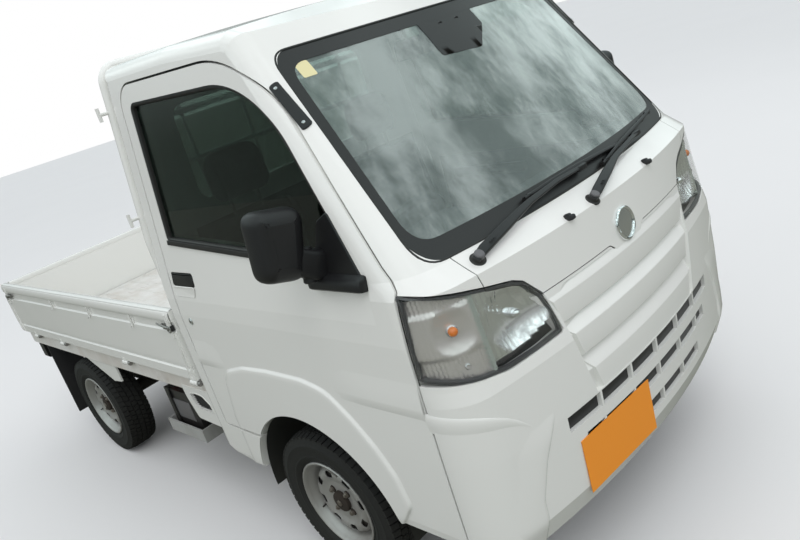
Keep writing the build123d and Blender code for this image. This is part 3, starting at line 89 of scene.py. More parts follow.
class Tree:
    """A node tree with short calls that add and join nodes."""

    def __init__(self, tree: bpy.types.NodeTree) -> None:
        """Wraps one node tree."""
        self.tree = tree

    def feed(self, node: bpy.types.Node, inputs: dict) -> bpy.types.Node:
        """Gives a node's inputs, by name or number, their values or the sockets that they join; returns the node."""
        for key, value in inputs.items():
            if isinstance(value, bpy.types.NodeSocket):
                self.tree.links.new(value, node.inputs[key])
            else:
                node.inputs[key].default_value = value
        return node

    def add(self, kind: str, inputs: dict | None = None, **settings: object) -> bpy.types.Node:
        """Adds a node.

        Args:
            kind: Blender's name of the node type.
            inputs: values or sockets for its inputs, by name or number.
            settings: properties of the node itself.

        Returns:
            The new node.
        """
        made = self.tree.nodes.new(kind)
        for key, value in settings.items():
            setattr(made, key, value)
        return self.feed(made, inputs or {})

    def maths(self, operation: str, *values: object, clamp: bool = False) -> bpy.types.NodeSocket:
        """Adds a Math node, clamped to between 0 and 1 if asked, and returns its result."""
        return self.add("ShaderNodeMath", dict(enumerate(values)), operation=operation, use_clamp=clamp).outputs[0]

    def mix(self, mask: object, first: object, second: object) -> bpy.types.NodeSocket:
        """Mixes two colours by a mask and returns the result."""
        return self.add("ShaderNodeMix", {0: mask, 6: first, 7: second}, data_type="RGBA").outputs[2]

    def noise(self, vector: object, scale: object, detail: float = 3.0, rough: float = 0.55) -> bpy.types.NodeSocket:
        """Adds a noise texture and returns its value."""
        inputs = {"Vector": vector, "Scale": scale, "Detail": detail, "Roughness": rough}
        return self.add("ShaderNodeTexNoise", inputs).outputs["Fac"]

    def ramp(self, value: object, low: object, high: object) -> bpy.types.NodeSocket:
        """Maps a value from low to high onto 0 to 1, clamped and smooth."""
        inputs = {"Value": value, "From Min": low, "From Max": high}
        return self.add("ShaderNodeMapRange", inputs, interpolation_type="SMOOTHSTEP").outputs[0]

    def place(self) -> bpy.types.NodeSocket:
        """The place on the surface in the part's own frame."""
        return self.add("ShaderNodeTexCoord").outputs["Object"]


def rgba(colour: Colour, share: float = 1.0) -> tuple[float, float, float, float]:
    """A colour with full opacity, darkened to a share of its brightness."""
    return (*(channel * share for channel in colour), 1.0)


class Effect(Enum):
    """Shader effects that several finishes share."""

    GRAIN = "fine_grain"
    DIRT = "road_dirt"
    SCUFFS = "worn_scuffs"


class Effects:
    """The shared shader groups, each built once."""

    def __init__(self) -> None:
        """Builds every group."""
        self.groups = {Effect.GRAIN: self._grain(), Effect.DIRT: self._dirt(), Effect.SCUFFS: self._scuffs()}

    @staticmethod
    def _start(effect: Effect, inputs: dict[str, object], outputs: Sequence[str]) -> tuple[Tree, dict, object]:
        """Starts a group with its sockets.

        Args:
            effect: which effect it is.
            inputs: name and default value of each input.
            outputs: name of each output, which holds a colour if it is called Colour and a value if not.

        Returns:
            The tree, its input sockets by name, and the group's output node.
        """
        group = bpy.data.node_groups.new(effect.value, "ShaderNodeTree")
        for name, value in inputs.items():
            kind = "NodeSocketColor" if isinstance(value, tuple) else "NodeSocketFloat"
            group.interface.new_socket(name=name, in_out="INPUT", socket_type=kind).default_value = value
        for name in outputs:
            kind = "NodeSocketColor" if name == "Colour" else "NodeSocketFloat"
            group.interface.new_socket(name=name, in_out="OUTPUT", socket_type=kind)
        tree = Tree(group)
        source = tree.add("NodeGroupInput")
        return tree, {name: source.outputs[name] for name in inputs}, tree.add("NodeGroupOutput")

    def _grain(self) -> bpy.types.NodeTree:
        """Fine surface grain: a height for bump and a slow value for roughness."""
        inputs = {"Scale": 300.0, "Amount": 0.3, "Cloud": 3.0}
        tree, given, out = self._start(Effect.GRAIN, inputs, ("Height", "Patch"))
        place = tree.place()
        fine = tree.maths("MULTIPLY", tree.noise(place, given["Scale"], 4.0, 0.6), given["Amount"])
        tree.feed(out, {"Height": fine, "Patch": tree.noise(place, given["Cloud"], 2.0)})
        return tree.tree

    def _dirt(self) -> bpy.types.NodeTree:
        """Dirt that is thick low down and thins out upwards, with runs in it."""
        tree, given, out = self._start(
            Effect.DIRT,
            {"Base": (0.8, 0.8, 0.8, 1.0), "Dirt": (0.3, 0.25, 0.2, 1.0), "Floor": 0.0, "Top": 0.6,
             "Amount": 0.5, "Scale": 9.0, "Film": 0.03},
            ("Colour", "Mask"),
        )
        place = tree.place()
        height = tree.add("ShaderNodeSeparateXYZ", {0: place}).outputs[2]
        low = tree.ramp(height, given["Top"], given["Floor"])
        stretched = tree.add("ShaderNodeMapping", {"Vector": place, "Scale": (1.0, 1.0, 0.18)}).outputs[0]
        runs = tree.noise(stretched, given["Scale"], 5.0, 0.65)
        cloud = tree.noise(place, 2.3, 3.0)
        patch = tree.maths("ADD", tree.maths("MULTIPLY", runs, 0.6), tree.maths("MULTIPLY", cloud, 0.6))
        broken = tree.ramp(patch, 0.42, 0.78)
        mask = tree.maths("MULTIPLY", tree.maths("MULTIPLY", low, broken), given["Amount"])
        mask = tree.maths("ADD", mask, tree.maths("MULTIPLY", cloud, given["Film"]), clamp=True)
        tree.feed(out, {"Colour": tree.mix(mask, given["Base"], given["Dirt"]), "Mask": mask})
        return tree.tree

    def _scuffs(self) -> bpy.types.NodeTree:
        """Scratches and rubbed patches, as a mask."""
        tree, given, out = self._start(Effect.SCUFFS, {"Scale": 6.0, "Amount": 0.5}, ("Mask",))
        place = tree.place()
        mask = None
        for turn, stretch in ((0.3, 14.0), (-0.5, 20.0), (1.3, 17.0)):
            inputs = {"Vector": place, "Rotation": (0.0, 0.0, turn), "Scale": (1.0, stretch, 1.0)}
            laid = tree.add("ShaderNodeMapping", inputs).outputs[0]
            line = tree.ramp(tree.noise(laid, given["Scale"], 2.0), 0.66, 0.71)
            mask = line if mask is None else tree.maths("MAXIMUM", mask, line)
        patch = tree.ramp(tree.noise(place, 3.1, 4.0), 0.4, 0.7)
        rubbed = tree.maths("MULTIPLY", tree.maths("MULTIPLY", mask, patch), given["Amount"], clamp=True)
        tree.feed(out, {"Mask": rubbed})
        return tree.tree

    def put(self, tree: Tree, effect: Effect, inputs: dict) -> bpy.types.bpy_prop_collection:
        """Places a shared effect in a material's tree, with its values, and returns its outputs."""
        return tree.add("ShaderNodeGroup", inputs, node_tree=self.groups[effect]).outputs


def new_material(name: str) -> tuple[bpy.types.Material, Tree, bpy.types.Node]:
    """Starts a material and returns it with its tree and its Principled shader."""
    made = bpy.data.materials.new(name)
    made.use_nodes = True
    made.node_tree.nodes.clear()
    tree = Tree(made.node_tree)
    shader = tree.add("ShaderNodeBsdfPrincipled")
    tree.add("ShaderNodeOutputMaterial", {"Surface": shader.outputs[0]})
    return made, tree, shader


# Finishes

@dataclass(frozen=True)
class Coating:
    """A hard opaque surface: paint, plastic, rubber or metal, with its grain and its dirt."""

    name: str
    colour: Colour
    rough: float
    metallic: float = 0.0
    coat: float = 0.0
    dirt: Colour = (0.23, 0.17, 0.115)
    floor: float = 0.0
    top: float = 0.6
    amount: float = 0.2
    film: float = 0.02
    grain: float = 400.0
    depth: float = 0.03
    shade: float = 0.04
    scuffs: float = 0.0
    under: Colour = (0.22, 0.17, 0.13)

    def build(self, effects: Effects) -> bpy.types.Material:
        """Makes the material."""
        made, tree, shader = new_material(self.name)
        grain = effects.put(tree, Effect.GRAIN, {"Scale": self.grain, "Amount": 1.0, "Cloud": 4.0})
        base = tree.mix(grain["Patch"], rgba(self.colour, 1 - self.shade), rgba(self.colour))
        rough = tree.maths("ADD", tree.maths("MULTIPLY", grain["Patch"], 0.08), self.rough - 0.04)
        if self.scuffs:
            worn = effects.put(tree, Effect.SCUFFS, {"Scale": 6.0, "Amount": self.scuffs})[0]
            base = tree.mix(worn, base, rgba(self.under))
            rough = tree.maths("ADD", rough, tree.maths("MULTIPLY", worn, 0.3), clamp=True)
        dirt = effects.put(
            tree, Effect.DIRT,
            {"Base": base, "Dirt": rgba(self.dirt), "Floor": self.floor, "Top": self.top,
             "Amount": self.amount, "Film": self.film},
        )
        rough = tree.maths("ADD", rough, tree.maths("MULTIPLY", dirt["Mask"], 0.5), clamp=True)
        bump = tree.add("ShaderNodeBump", {"Height": grain["Height"], "Strength": self.depth, "Distance": 0.001})
        tree.feed(shader, {
            "Base Color": dirt["Colour"], "Roughness": rough, "Metallic": self.metallic, "Coat Weight": self.coat,
            "Coat Roughness": 0.06, "Normal": bump.outputs[0],
        })
        return made


@dataclass(frozen=True)
class Glass:
    """Clear glass or lens plastic, with a thin film of dust."""

    name: str
    colour: Colour
    rough: float = 0.0
    bend: float = 1.45
    film: float = 0.02
    coat: float = 0.0
    coat_bend: float = 1.5
    solid: float = 1.0

    def build(self, effects: Effects) -> bpy.types.Material:
        """Makes the material."""
        made, tree, shader = new_material(self.name)
        dirt = effects.put(
            tree, Effect.DIRT,
            {"Base": rgba(self.colour), "Dirt": (0.62, 0.6, 0.55, 1.0), "Floor": 0.8, "Top": 1.4,
             "Amount": 0.03, "Film": self.film},
        )
        rough = tree.maths("ADD", tree.maths("MULTIPLY", dirt["Mask"], 0.5), self.rough)
        tree.feed(shader, {
            "Base Color": dirt["Colour"], "Roughness": rough, "IOR": self.bend, "Transmission Weight": 1.0,
            "Coat Weight": self.coat, "Coat IOR": self.coat_bend, "Coat Roughness": 0.0, "Alpha": self.solid,
        })
        return made


@dataclass(frozen=True)
class Cloth:
    """Woven seat cover."""

    name: str
    colour: Colour
    thread: float = 900.0

    def build(self, effects: Effects) -> bpy.types.Material:
        """Makes the material."""
        made, tree, shader = new_material(self.name)
        inputs = {"Vector": tree.place(), "Scale": self.thread / 6.0, "Distortion": 1.5, "Detail": 1.0}
        waves = [tree.add("ShaderNodeTexWave", inputs, bands_direction=way).outputs["Fac"] for way in ("X", "Y", "Z")]
        weave = tree.maths("MULTIPLY", tree.maths("ADD", waves[0], waves[1]), tree.maths("ADD", waves[2], 0.3))
        base = tree.mix(tree.maths("MULTIPLY", weave, 0.5), rgba(self.colour, 0.7), rgba(self.colour))
        dirt = effects.put(
            tree, Effect.DIRT,
            {"Base": base, "Dirt": (0.3, 0.27, 0.23, 1.0), "Floor": 0.6, "Top": 0.9, "Amount": 0.15, "Film": 0.05},
        )
        bump = tree.add("ShaderNodeBump", {"Height": weave, "Strength": 0.35, "Distance": 0.001})
        tree.feed(shader, {"Base Color": dirt["Colour"], "Roughness": 0.9, "Sheen Weight": 0.25,
                           "Normal": bump.outputs[0]})
        return made


# Slightly warm off-white: partly the paint's own tone, partly a painted warm bounce from the ground.
WHITE: Colour = (0.84, 0.845, 0.81)
BODY_PAINT = Coating("body_paint", WHITE, 0.24, coat=0.6, top=0.45, floor=0.15, amount=0.05, film=0.012,
                     grain=260.0, depth=0.02, shade=0.012)
BED_PAINT = Coating("bed_paint", (0.80, 0.80, 0.77), 0.42, coat=0.1, top=1.2, floor=0.62, amount=0.35,
                    dirt=(0.42, 0.33, 0.24), film=0.04, grain=180.0, depth=0.08, shade=0.05, scuffs=0.45)
BLACK_TRIM = Coating("black_trim", (0.018, 0.018, 0.02), 0.55, grain=900.0, depth=0.35, amount=0.2, top=1.2,
                     dirt=(0.12, 0.11, 0.10))
SOFT_BLACK = Coating("soft_black", (0.012, 0.012, 0.013), 0.35, grain=600.0, depth=0.05, amount=0.1)
GREY_TRIM = Coating("grey_trim", (0.13, 0.13, 0.135), 0.6, grain=900.0, depth=0.35, amount=0.15, top=1.2)
WHEEL_PAINT = Coating("wheel_paint", (0.50, 0.50, 0.485), 0.34, metallic=0.55, amount=0.5, top=0.7,
                      dirt=(0.16, 0.12, 0.09), film=0.12, grain=500.0, depth=0.05, shade=0.12)
RUBBER = Coating("tyre_rubber", (0.009, 0.009, 0.009), 0.72, amount=0.10, top=0.7, dirt=(0.10, 0.09, 0.075),
                 film=0.05, grain=700.0, depth=0.3, shade=0.3)
CHASSIS_PAINT = Coating("chassis_paint", (0.02, 0.02, 0.021), 0.5, amount=0.8, top=0.8, film=0.12,
                        dirt=(0.14, 0.11, 0.085), grain=500.0, depth=0.2, shade=0.2)
CAST_METAL = Coating("cast_metal", (0.42, 0.42, 0.42), 0.5, metallic=0.8, amount=0.7, top=0.8, film=0.1,
                     dirt=(0.12, 0.095, 0.075), grain=420.0, depth=0.4, shade=0.15)
DULL_STEEL = Coating("dull_steel", (0.38, 0.37, 0.36), 0.42, metallic=0.9, amount=0.6, top=0.8, film=0.08,
                     dirt=(0.2, 0.115, 0.065), grain=420.0, depth=0.2, shade=0.15)
RUSTY_STEEL = Coating("rusty_steel", (0.045, 0.034, 0.027), 0.8, metallic=0.2, amount=0.4, top=0.7,
                      dirt=(0.055, 0.04, 0.03), film=0.2, grain=350.0, depth=0.5, shade=0.45)
PLATE_PAINT = Coating("plate_paint", (1.0, 0.34, 0.03), 0.5, amount=0.04, film=0.0, grain=400.0, depth=0.02,
                      shade=0.02)
RED_LENS = Coating("red_lens", (0.42, 0.012, 0.010), 0.12, coat=1.0, grain=120.0, depth=0.3, amount=0.2, top=0.7)
LAMP_FRAME = Coating("lamp_frame", (0.055, 0.058, 0.06), 0.35, grain=500.0, depth=0.05, amount=0.0)
CHROME = Coating("chrome", (0.92, 0.93, 0.94), 0.05, metallic=1.0, amount=0.0, film=0.0, shade=0.03, depth=0.01)
SATIN_CHROME = Coating("satin_chrome", (0.72, 0.73, 0.74), 0.22, metallic=1.0, amount=0.0, film=0.03, shade=0.06,
                       depth=0.02)
LAMP_DIVIDER = Coating("lamp_divider", (0.42, 0.47, 0.43), 0.25, metallic=0.4, amount=0.0, grain=300.0)
NUT_STEEL = Coating("nut_steel", (0.30, 0.27, 0.24), 0.38, metallic=0.85, amount=0.5, top=0.7, film=0.1,
                    dirt=(0.13, 0.065, 0.035), grain=420.0, depth=0.2, shade=0.3)
RUBBER_TRIM = Coating("rubber_trim", (0.014, 0.014, 0.014), 0.5, grain=700.0, depth=0.1, amount=0.1, top=1.6)
STICKER = Coating("plain_sticker", (0.80, 0.74, 0.42), 0.5, grain=300.0, amount=0.0)
SMOOTH_BLACK = Coating("smooth_black", (0.010, 0.010, 0.011), 0.42, grain=1500.0, depth=0.12, amount=0.08, top=1.2,
                       film=0.01, dirt=(0.10, 0.095, 0.09))
MIRROR_GLASS = Coating("mirror_glass", (0.62, 0.66, 0.68), 0.03, metallic=1.0, amount=0.0, film=0.0, shade=0.0,
                       depth=0.0)
ARCH_LINING = Coating("arch_lining", (0.018, 0.020, 0.018), 0.85, amount=0.3, top=0.7, film=0.05,
                      dirt=(0.09, 0.08, 0.065), grain=350.0, depth=0.4, shade=0.3)
LAMP_SMOKE = Coating("lamp_smoke", (0.74, 0.72, 0.69), 0.16, metallic=0.6, amount=0.0, film=0.0, shade=0.2,
                     depth=0.02)
DARK_STEEL = Coating("dark_steel", (0.035, 0.034, 0.033), 0.5, metallic=0.3, amount=0.6, top=0.7, film=0.08,
                     dirt=(0.11, 0.09, 0.07), grain=420.0, depth=0.15, shade=0.15)
PALE_STEEL = Coating("pale_steel", (0.52, 0.53, 0.52), 0.4, metallic=0.2, amount=0.6, top=0.7, film=0.06,
                     dirt=(0.2, 0.16, 0.12), grain=420.0, depth=0.1, shade=0.1)
LINER = Coating("cab_liner", (0.13, 0.13, 0.125), 0.9, grain=900.0, depth=0.3, amount=0.0, shade=0.1)
RED_CAP = Coating("red_cap", (0.45, 0.02, 0.015), 0.4, grain=300.0, amount=0.1)
AMBER_GLASS = Coating("amber_glass", (0.75, 0.20, 0.02), 0.1, coat=1.0, amount=0.0, shade=0.2)
WINDOW_GLASS = Glass("window_glass", (0.12, 0.165, 0.14), film=0.0)
SCREEN_GLASS = Glass("screen_glass", (0.42, 0.52, 0.49), bend=1.6, film=0.01, coat=1.0, coat_bend=2.1)
LENS_CLEAR = Glass("clear_lens", (0.97, 0.98, 0.98), film=0.0, solid=0.14)
SEAT_CLOTH = Cloth("seat_cloth", (0.085, 0.085, 0.09))


class Finishes:
    """The materials, each built the first time that it is asked for."""

    def __init__(self) -> None:
        """Starts with the shared effects."""
        self.effects = Effects()
        self.made: dict[str, bpy.types.Material] = {}

    def __call__(self, finish: Coating | Glass | Cloth) -> bpy.types.Material:
        """The material of a finish."""
        if finish.name not in self.made:
            self.made[finish.name] = finish.build(self.effects)
        return self.made[finish.name]


# Shapes

def inset_loop(loop: Sequence[Row], amount: float) -> list[Row]:
    """Moves a closed outline inwards, or outwards where the amount is negative.

    Args:
        loop: corners of the outline, anticlockwise.
        amount: how far it moves.

    Returns:
        The moved corners.
    """
    moved = []
    for before, here, after in zip(loop[-1:] + loop[:-1], loop, loop[1:] + loop[:1]):
        first = Vector((here[0] - before[0], here[1] - before[1])).normalized()
        second = Vector((after[0] - here[0], after[1] - here[1])).normalized()
        normal = Vector((-first.y - second.y, first.x + second.x))
        reach = normal.length
        normal.normalize()
        step = amount / max(reach / 2, 0.35)
        moved.append((here[0] + normal.x * step, here[1] + normal.y * step))
    return moved


def rounded_loop(corners: Sequence[Row], steps: int = 5, pitch: float = 0.0) -> list[Row]:
    """Rounds the corners of a closed outline.

    Args:
        corners: rows of across, up and corner radius, anticlockwise.
        steps: points on each rounded corner.
        pitch: longest straight run, or 0 for no limit.

    Returns:
        The outline's points.
    """
    points: list[Vector] = []
    count = len(corners)
    for k, (x, y, radius) in enumerate(corners):
        here = Vector((x, y))
        before = Vector(corners[k - 1][:2]) - here
        after = Vector(corners[(k + 1) % count][:2]) - here
        turn = before.angle(after)
        if radius <= 0 or turn > 3.1:
            points.append(here)
            continue
        reach = min(radius / math.tan(turn / 2), before.length * 0.49, after.length * 0.49)
        first, last = here + before.normalized() * reach, here + after.normalized() * reach
        for step in range(steps + 1):
            share = step / steps
            points.append(first.lerp(here, share).lerp(here.lerp(last, share), share))
    if pitch:
        spread = []
        for here, after in zip(points, points[1:] + points[:1]):
            parts = max(1, math.ceil((after - here).length / pitch))
            spread += [here.lerp(after, part / parts) for part in range(parts)]
        points = spread
    return [tuple(point) for point in points]


def box_loop(low: Row, high: Row, radius: float, steps: int = 5, pitch: float = 0.0) -> list[Row]:
    """A rectangle's outline with its corners rounded, from its low and its high corner."""
    (x0, y0), (x1, y1) = low, high
    return rounded_loop(((x0, y0, radius), (x1, y0, radius), (x1, y1, radius), (x0, y1, radius)), steps, pitch)


def ring(radius: float, steps: int = 12) -> list[Row]:
    """A round section."""
    return [(radius * math.cos(2 * math.pi * k / steps), radius * math.sin(2 * math.pi * k / steps))
            for k in range(steps)]


def span(low: float, high: float, count: int) -> list[float]:
    """Evenly spaced values from low to high."""
    return [low + (high - low) * k / (count - 1) for k in range(count)]


def inside(point: Row, loop: Sequence[Row]) -> bool:
    """Whether a point lies inside a closed outline."""
    x, y = point
    within = False
    for (x0, y0), (x1, y1) in zip(loop[-1:] + loop[:-1], loop):
        if (y0 > y) != (y1 > y) and x < (x1 - x0) * (y - y0) / (y1 - y0) + x0:
            within = not within
    return within


def triangles(loops: Sequence[Sequence[Row]], pitch: float) -> tuple[list[Row], list[tuple[int, ...]]]:
    """Fills outlines with triangles of an even size.

    Args:
        loops: closed outlines. A loop inside another is a hole.
        pitch: spacing of the points inside.

    Returns:
        The points and the triangles.
    """
    points = [Vector(point) for loop in loops for point in loop]
    edges, start = [], 0
    for loop in loops:
        edges += [(start + k, start + (k + 1) % len(loop)) for k in range(len(loop))]
        start += len(loop)
    low = [min(point[axis] for point in points) for axis in (0, 1)]
    high = [max(point[axis] for point in points) for axis in (0, 1)]
    columns, rows = (int((high[axis] - low[axis]) / pitch) + 2 for axis in (0, 1))
    rims = list(points)
    for row in range(rows):
        for column in range(columns):
            spot = Vector((low[0] + (column + 0.5 * (row % 2)) * pitch, low[1] + (row + 0.3) * pitch))
            within = sum(inside(spot, loop) for loop in loops) % 2
            if within and all((spot - rim).length > pitch * 0.5 for rim in rims):
                points.append(spot)
    found = geometry.delaunay_2d_cdt(points, edges, [], 0, 1e-5)
    kept = []
    for face in found[2]:
        middle = sum((found[0][k] for k in face), Vector((0, 0))) / len(face)
        if sum(inside(middle, loop) for loop in loops) % 2:
            kept.append(tuple(face))
    return [tuple(point) for point in found[0]], kept


class Shape:
    """Gathers the faces of one piece, in millimetres, each with the number of its material."""

    def __init__(self) -> None:
        """Starts empty."""
        self.points: list[Vector] = []
        self.faces: list[tuple[int, ...]] = []
        self.marks: list[int] = []

    def add(self, points: Iterable[Sequence[float]], faces: Iterable[Sequence[int]], mark: int = 0) -> "Shape":
        """Adds points and faces that count from the first of these points."""
        start = len(self.points)
        self.points += [Vector(point) for point in points]
        new = [tuple(start + k for k in face) for face in faces]
        self.faces += new
        self.marks += [mark] * len(new)
        return self

    def grid(self, rows: Sequence[Sequence[Sequence[float]]], mark: int = 0, closed: bool = False,
             looped: bool = False) -> "Shape":
        """Skins rows of points.

        Args:
            rows: rows of the same number of points.
            mark: number of the material.
            closed: joins the end of each row to its start.
            looped: joins the last row to the first.

        Returns:
            The shape.
        """
        count = len(rows[0])
        faces = []
        for row in range(len(rows) if looped else len(rows) - 1):
            here, there = row * count, (row + 1) % len(rows) * count
            for k in range(count if closed else count - 1):
                after = (k + 1) % count
                faces.append((here + k, here + after, there + after, there + k))
        return self.add([point for row in rows for point in row], faces, mark)

    def tube(self, path: Sequence[Sequence[float]], section: Sequence[Row], up: object = (0, 0, 1),
             closed: bool = False, mark: int = 0, sizes: Sequence[float] | None = None) -> "Shape":
        """Sweeps a closed section along a path.

        Args:
            path: the path's points.
            section: across and up of each corner of the section.
            up: the direction that the section's up stays near to, or one for each point.
            closed: joins the path's end to its start.
            mark: number of the material.
            sizes: scale of the section at each point.

        Returns:
            The shape.
        """
        line = [Vector(point) for point in path]
        count, rows = len(line), []
        for k, here in enumerate(line):
            before = line[k - 1] if k or closed else here
            after = line[(k + 1) % count] if k < count - 1 or closed else here
            ahead = (after - before).normalized()
            lift = Vector(up[k] if len(up) == count and not isinstance(up[0], (int, float)) else up)
            side = ahead.cross(lift).normalized()
            top = side.cross(ahead)
            scale = sizes[k] if sizes else 1.0
            rows.append([here + (side * across + top * rise) * scale for across, rise in section])
        self.grid(rows, mark, closed=True, looped=closed)
        if not closed:
            last = len(self.points)
            size = len(section)
            first = last - size * count
            self.faces += [tuple(range(first, first + size))[::-1], tuple(range(last - size, last))]
            self.marks += [mark, mark]
        return self

    def lathe(self, profile: Sequence[Row], origin: Sequence[float], axis: Sequence[float], steps: int = 32,
              mark: int = 0) -> "Shape":
        """Turns a profile round an axis.

        Args:
            profile: rows of radius and distance along the axis.
            origin: where the axis starts.
            axis: its direction.
            steps: sides of the turned shape.
            mark: number of the material.

        Returns:
            The shape.
        """
        along = Vector(axis).normalized()
        across = along.orthogonal().normalized()
        up = along.cross(across)
        rays = [across * x + up * y for x, y in ring(1.0, steps)]
        rows = [[Vector(origin) + along * reach + ray * radius for ray in rays] for radius, reach in profile]
        return self.grid(rows, mark, closed=True)

    def block(self, centre: Sequence[float], size: Sequence[float], edge: float = 1.5, turn: Matrix | None = None,
              mark: int = 0) -> "Shape":
        """Adds a box with rounded edges.

        Args:
            centre: its middle.
            size: its length along each axis.
            edge: radius of its edges.
            turn: its rotation.
            mark: number of the material.

        Returns:
            The shape.
        """
        form = bmesh.new()
        bmesh.ops.create_cube(form, size=1.0, matrix=Matrix.Diagonal((*size, 1.0)))
        bmesh.ops.bevel(form, geom=form.edges[:], offset=min(edge, min(size) * 0.45), segments=2,
                        affect="EDGES", profile=0.5)
        form.verts.index_update()
        spin = turn.to_3x3() if turn else Matrix.Identity(3)
        points = [spin @ vert.co + Vector(centre) for vert in form.verts]
        faces = [tuple(vert.index for vert in face.verts) for face in form.faces]
        form.free()
        return self.add(points, faces, mark)

    def slab(self, loop: Sequence[Row], at: Callable[[float, float, float], Vector], steps: Sequence[Row],
             mark: int = 0, pitch: float = 0.0) -> "Shape":
        """Builds a plate from its outline.

        Args:
            loop: the outline, anticlockwise.
            at: gives the place of an across, up and out.
            steps: rows of inset and out, from the back edge round to the front.
            mark: number of the material.
            pitch: size of the triangles that close it, or 0 for one flat face at the back and one at the front.

        Returns:
            The shape.
        """
        loops = [inset_loop(list(loop), inset) for inset, _ in steps]
        rows = [[at(u, v, out) for u, v in moved] for moved, (_, out) in zip(loops, steps)]
        self.grid(rows, mark, closed=True)
        for moved, (_, out), flip in ((loops[0], steps[0], True), (loops[-1], steps[-1], False)):
            points, faces = triangles([moved], pitch) if pitch else (moved, [tuple(range(len(moved)))])
            placed = [at(u, v, out) for u, v in points]
            self.add(placed, [face[::-1] if flip else face for face in faces], mark)
        return self

    def sheet(self, loops: Sequence[Sequence[Row]], at: Callable[[float, float], Vector], pitch: float,
              mark: int = 0, flip: bool = False) -> "Shape":
        """Fills outlines with a curved sheet.

        Args:
            loops: closed outlines. A loop inside another is a hole.
            at: gives the place of an across and up.
            pitch: size of its triangles.
            mark: number of the material.
            flip: turns its faces over.

        Returns:
            The shape.
        """
        points, faces = triangles(loops, pitch)
        return self.add([at(u, v) for u, v in points], [face[::-1] if flip else face for face in faces], mark)

    def mirrored(self, sides: Sequence[int] = (-1, 1)) -> "Shape":
        """A copy for each side, made from a shape on the left."""
        made = Shape()
        for side in sides:
            points = [Vector((point.x, point.y * side, point.z)) for point in self.points]
            for face, mark in zip(self.faces, self.marks):
                made.faces.append(tuple(k + len(made.points) for k in (face if side > 0 else face[::-1])))
                made.marks.append(mark)
            made.points += points
        return made


class Workshop:
    """Turns shapes into the scene's pieces, with their finish and the body that each rides on."""

    def __init__(self, finishes: "Finishes") -> None:
        """Starts with the materials."""
        self.finishes = finishes

    def place(self, name: str, shape: Shape, finish: object, body: str, slot: Slot,
              replaces: Sequence[str] = (), sharp: float = 32.0, closed: bool = True) -> bpy.types.Object:
        """Makes a piece.

        Args:
            name: its name.
            shape: its form.
            finish: its finish, or one for each of the shape's materials.
            body: the CAD body that it rides on.
            slot: the record's material slot; not used.
            replaces: CAD nodes that it stands for.
            sharp: angle over which an edge is sharp, in degrees.
            closed: turns all faces outwards.

        Returns:
            The piece.
        """
        mesh = bpy.data.meshes.new(name)
        form = bmesh.new()
        verts = [form.verts.new(point * MM) for point in shape.points]
        for face, mark in zip(shape.faces, shape.marks):
            try:
                form.faces.new([verts[k] for k in face]).material_index = mark
            except ValueError:
                continue
        bmesh.ops.remove_doubles(form, verts=form.verts[:], dist=1e-6)
        bmesh.ops.dissolve_degenerate(form, dist=1e-7, edges=form.edges[:])
        if closed:
            bmesh.ops.recalc_face_normals(form, faces=form.faces[:])
        form.to_mesh(mesh)
        form.free()
        for face in mesh.polygons:
            face.use_smooth = True
        mesh.set_sharp_from_angle(angle=math.radians(sharp))
        for each in finish if isinstance(finish, tuple) else [finish]:
            mesh.materials.append(self.finishes(each))
        piece = bpy.data.objects.new(name, mesh)
        bpy.context.scene.collection.objects.link(piece)
        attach(piece, body)
        if replaces:
            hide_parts(*replaces)
        LOG.info("%s: %d faces on %s", name, len(mesh.polygons), body)
        return piece

    def pair(self, name: str, shape: Shape, finish: object, body: str, slot: Slot, replaces: str = "",
             **more: object) -> None:
        """Makes a piece for each side from the shape of the left one.

        Args:
            name: the pieces' name, without the side.
            shape: the left one's form.
            finish: the finish, or one for each of the shape's materials.
            body: the CAD body, where a name that ends in an underscore gets the side.
            slot: the record's material slot; not used.
            replaces: name of the CAD nodes that they stand for, without the side.
            more: what else place() is given.
        """
        for side, way in SIDES:
            nodes = (f"{replaces}_{side}",) if replaces else ()
            rides = f"{body}{side}" if body.endswith("_") else body
            self.place(f"{name}_{side}", shape.mirrored((way,)), finish, rides, slot, nodes, **more)


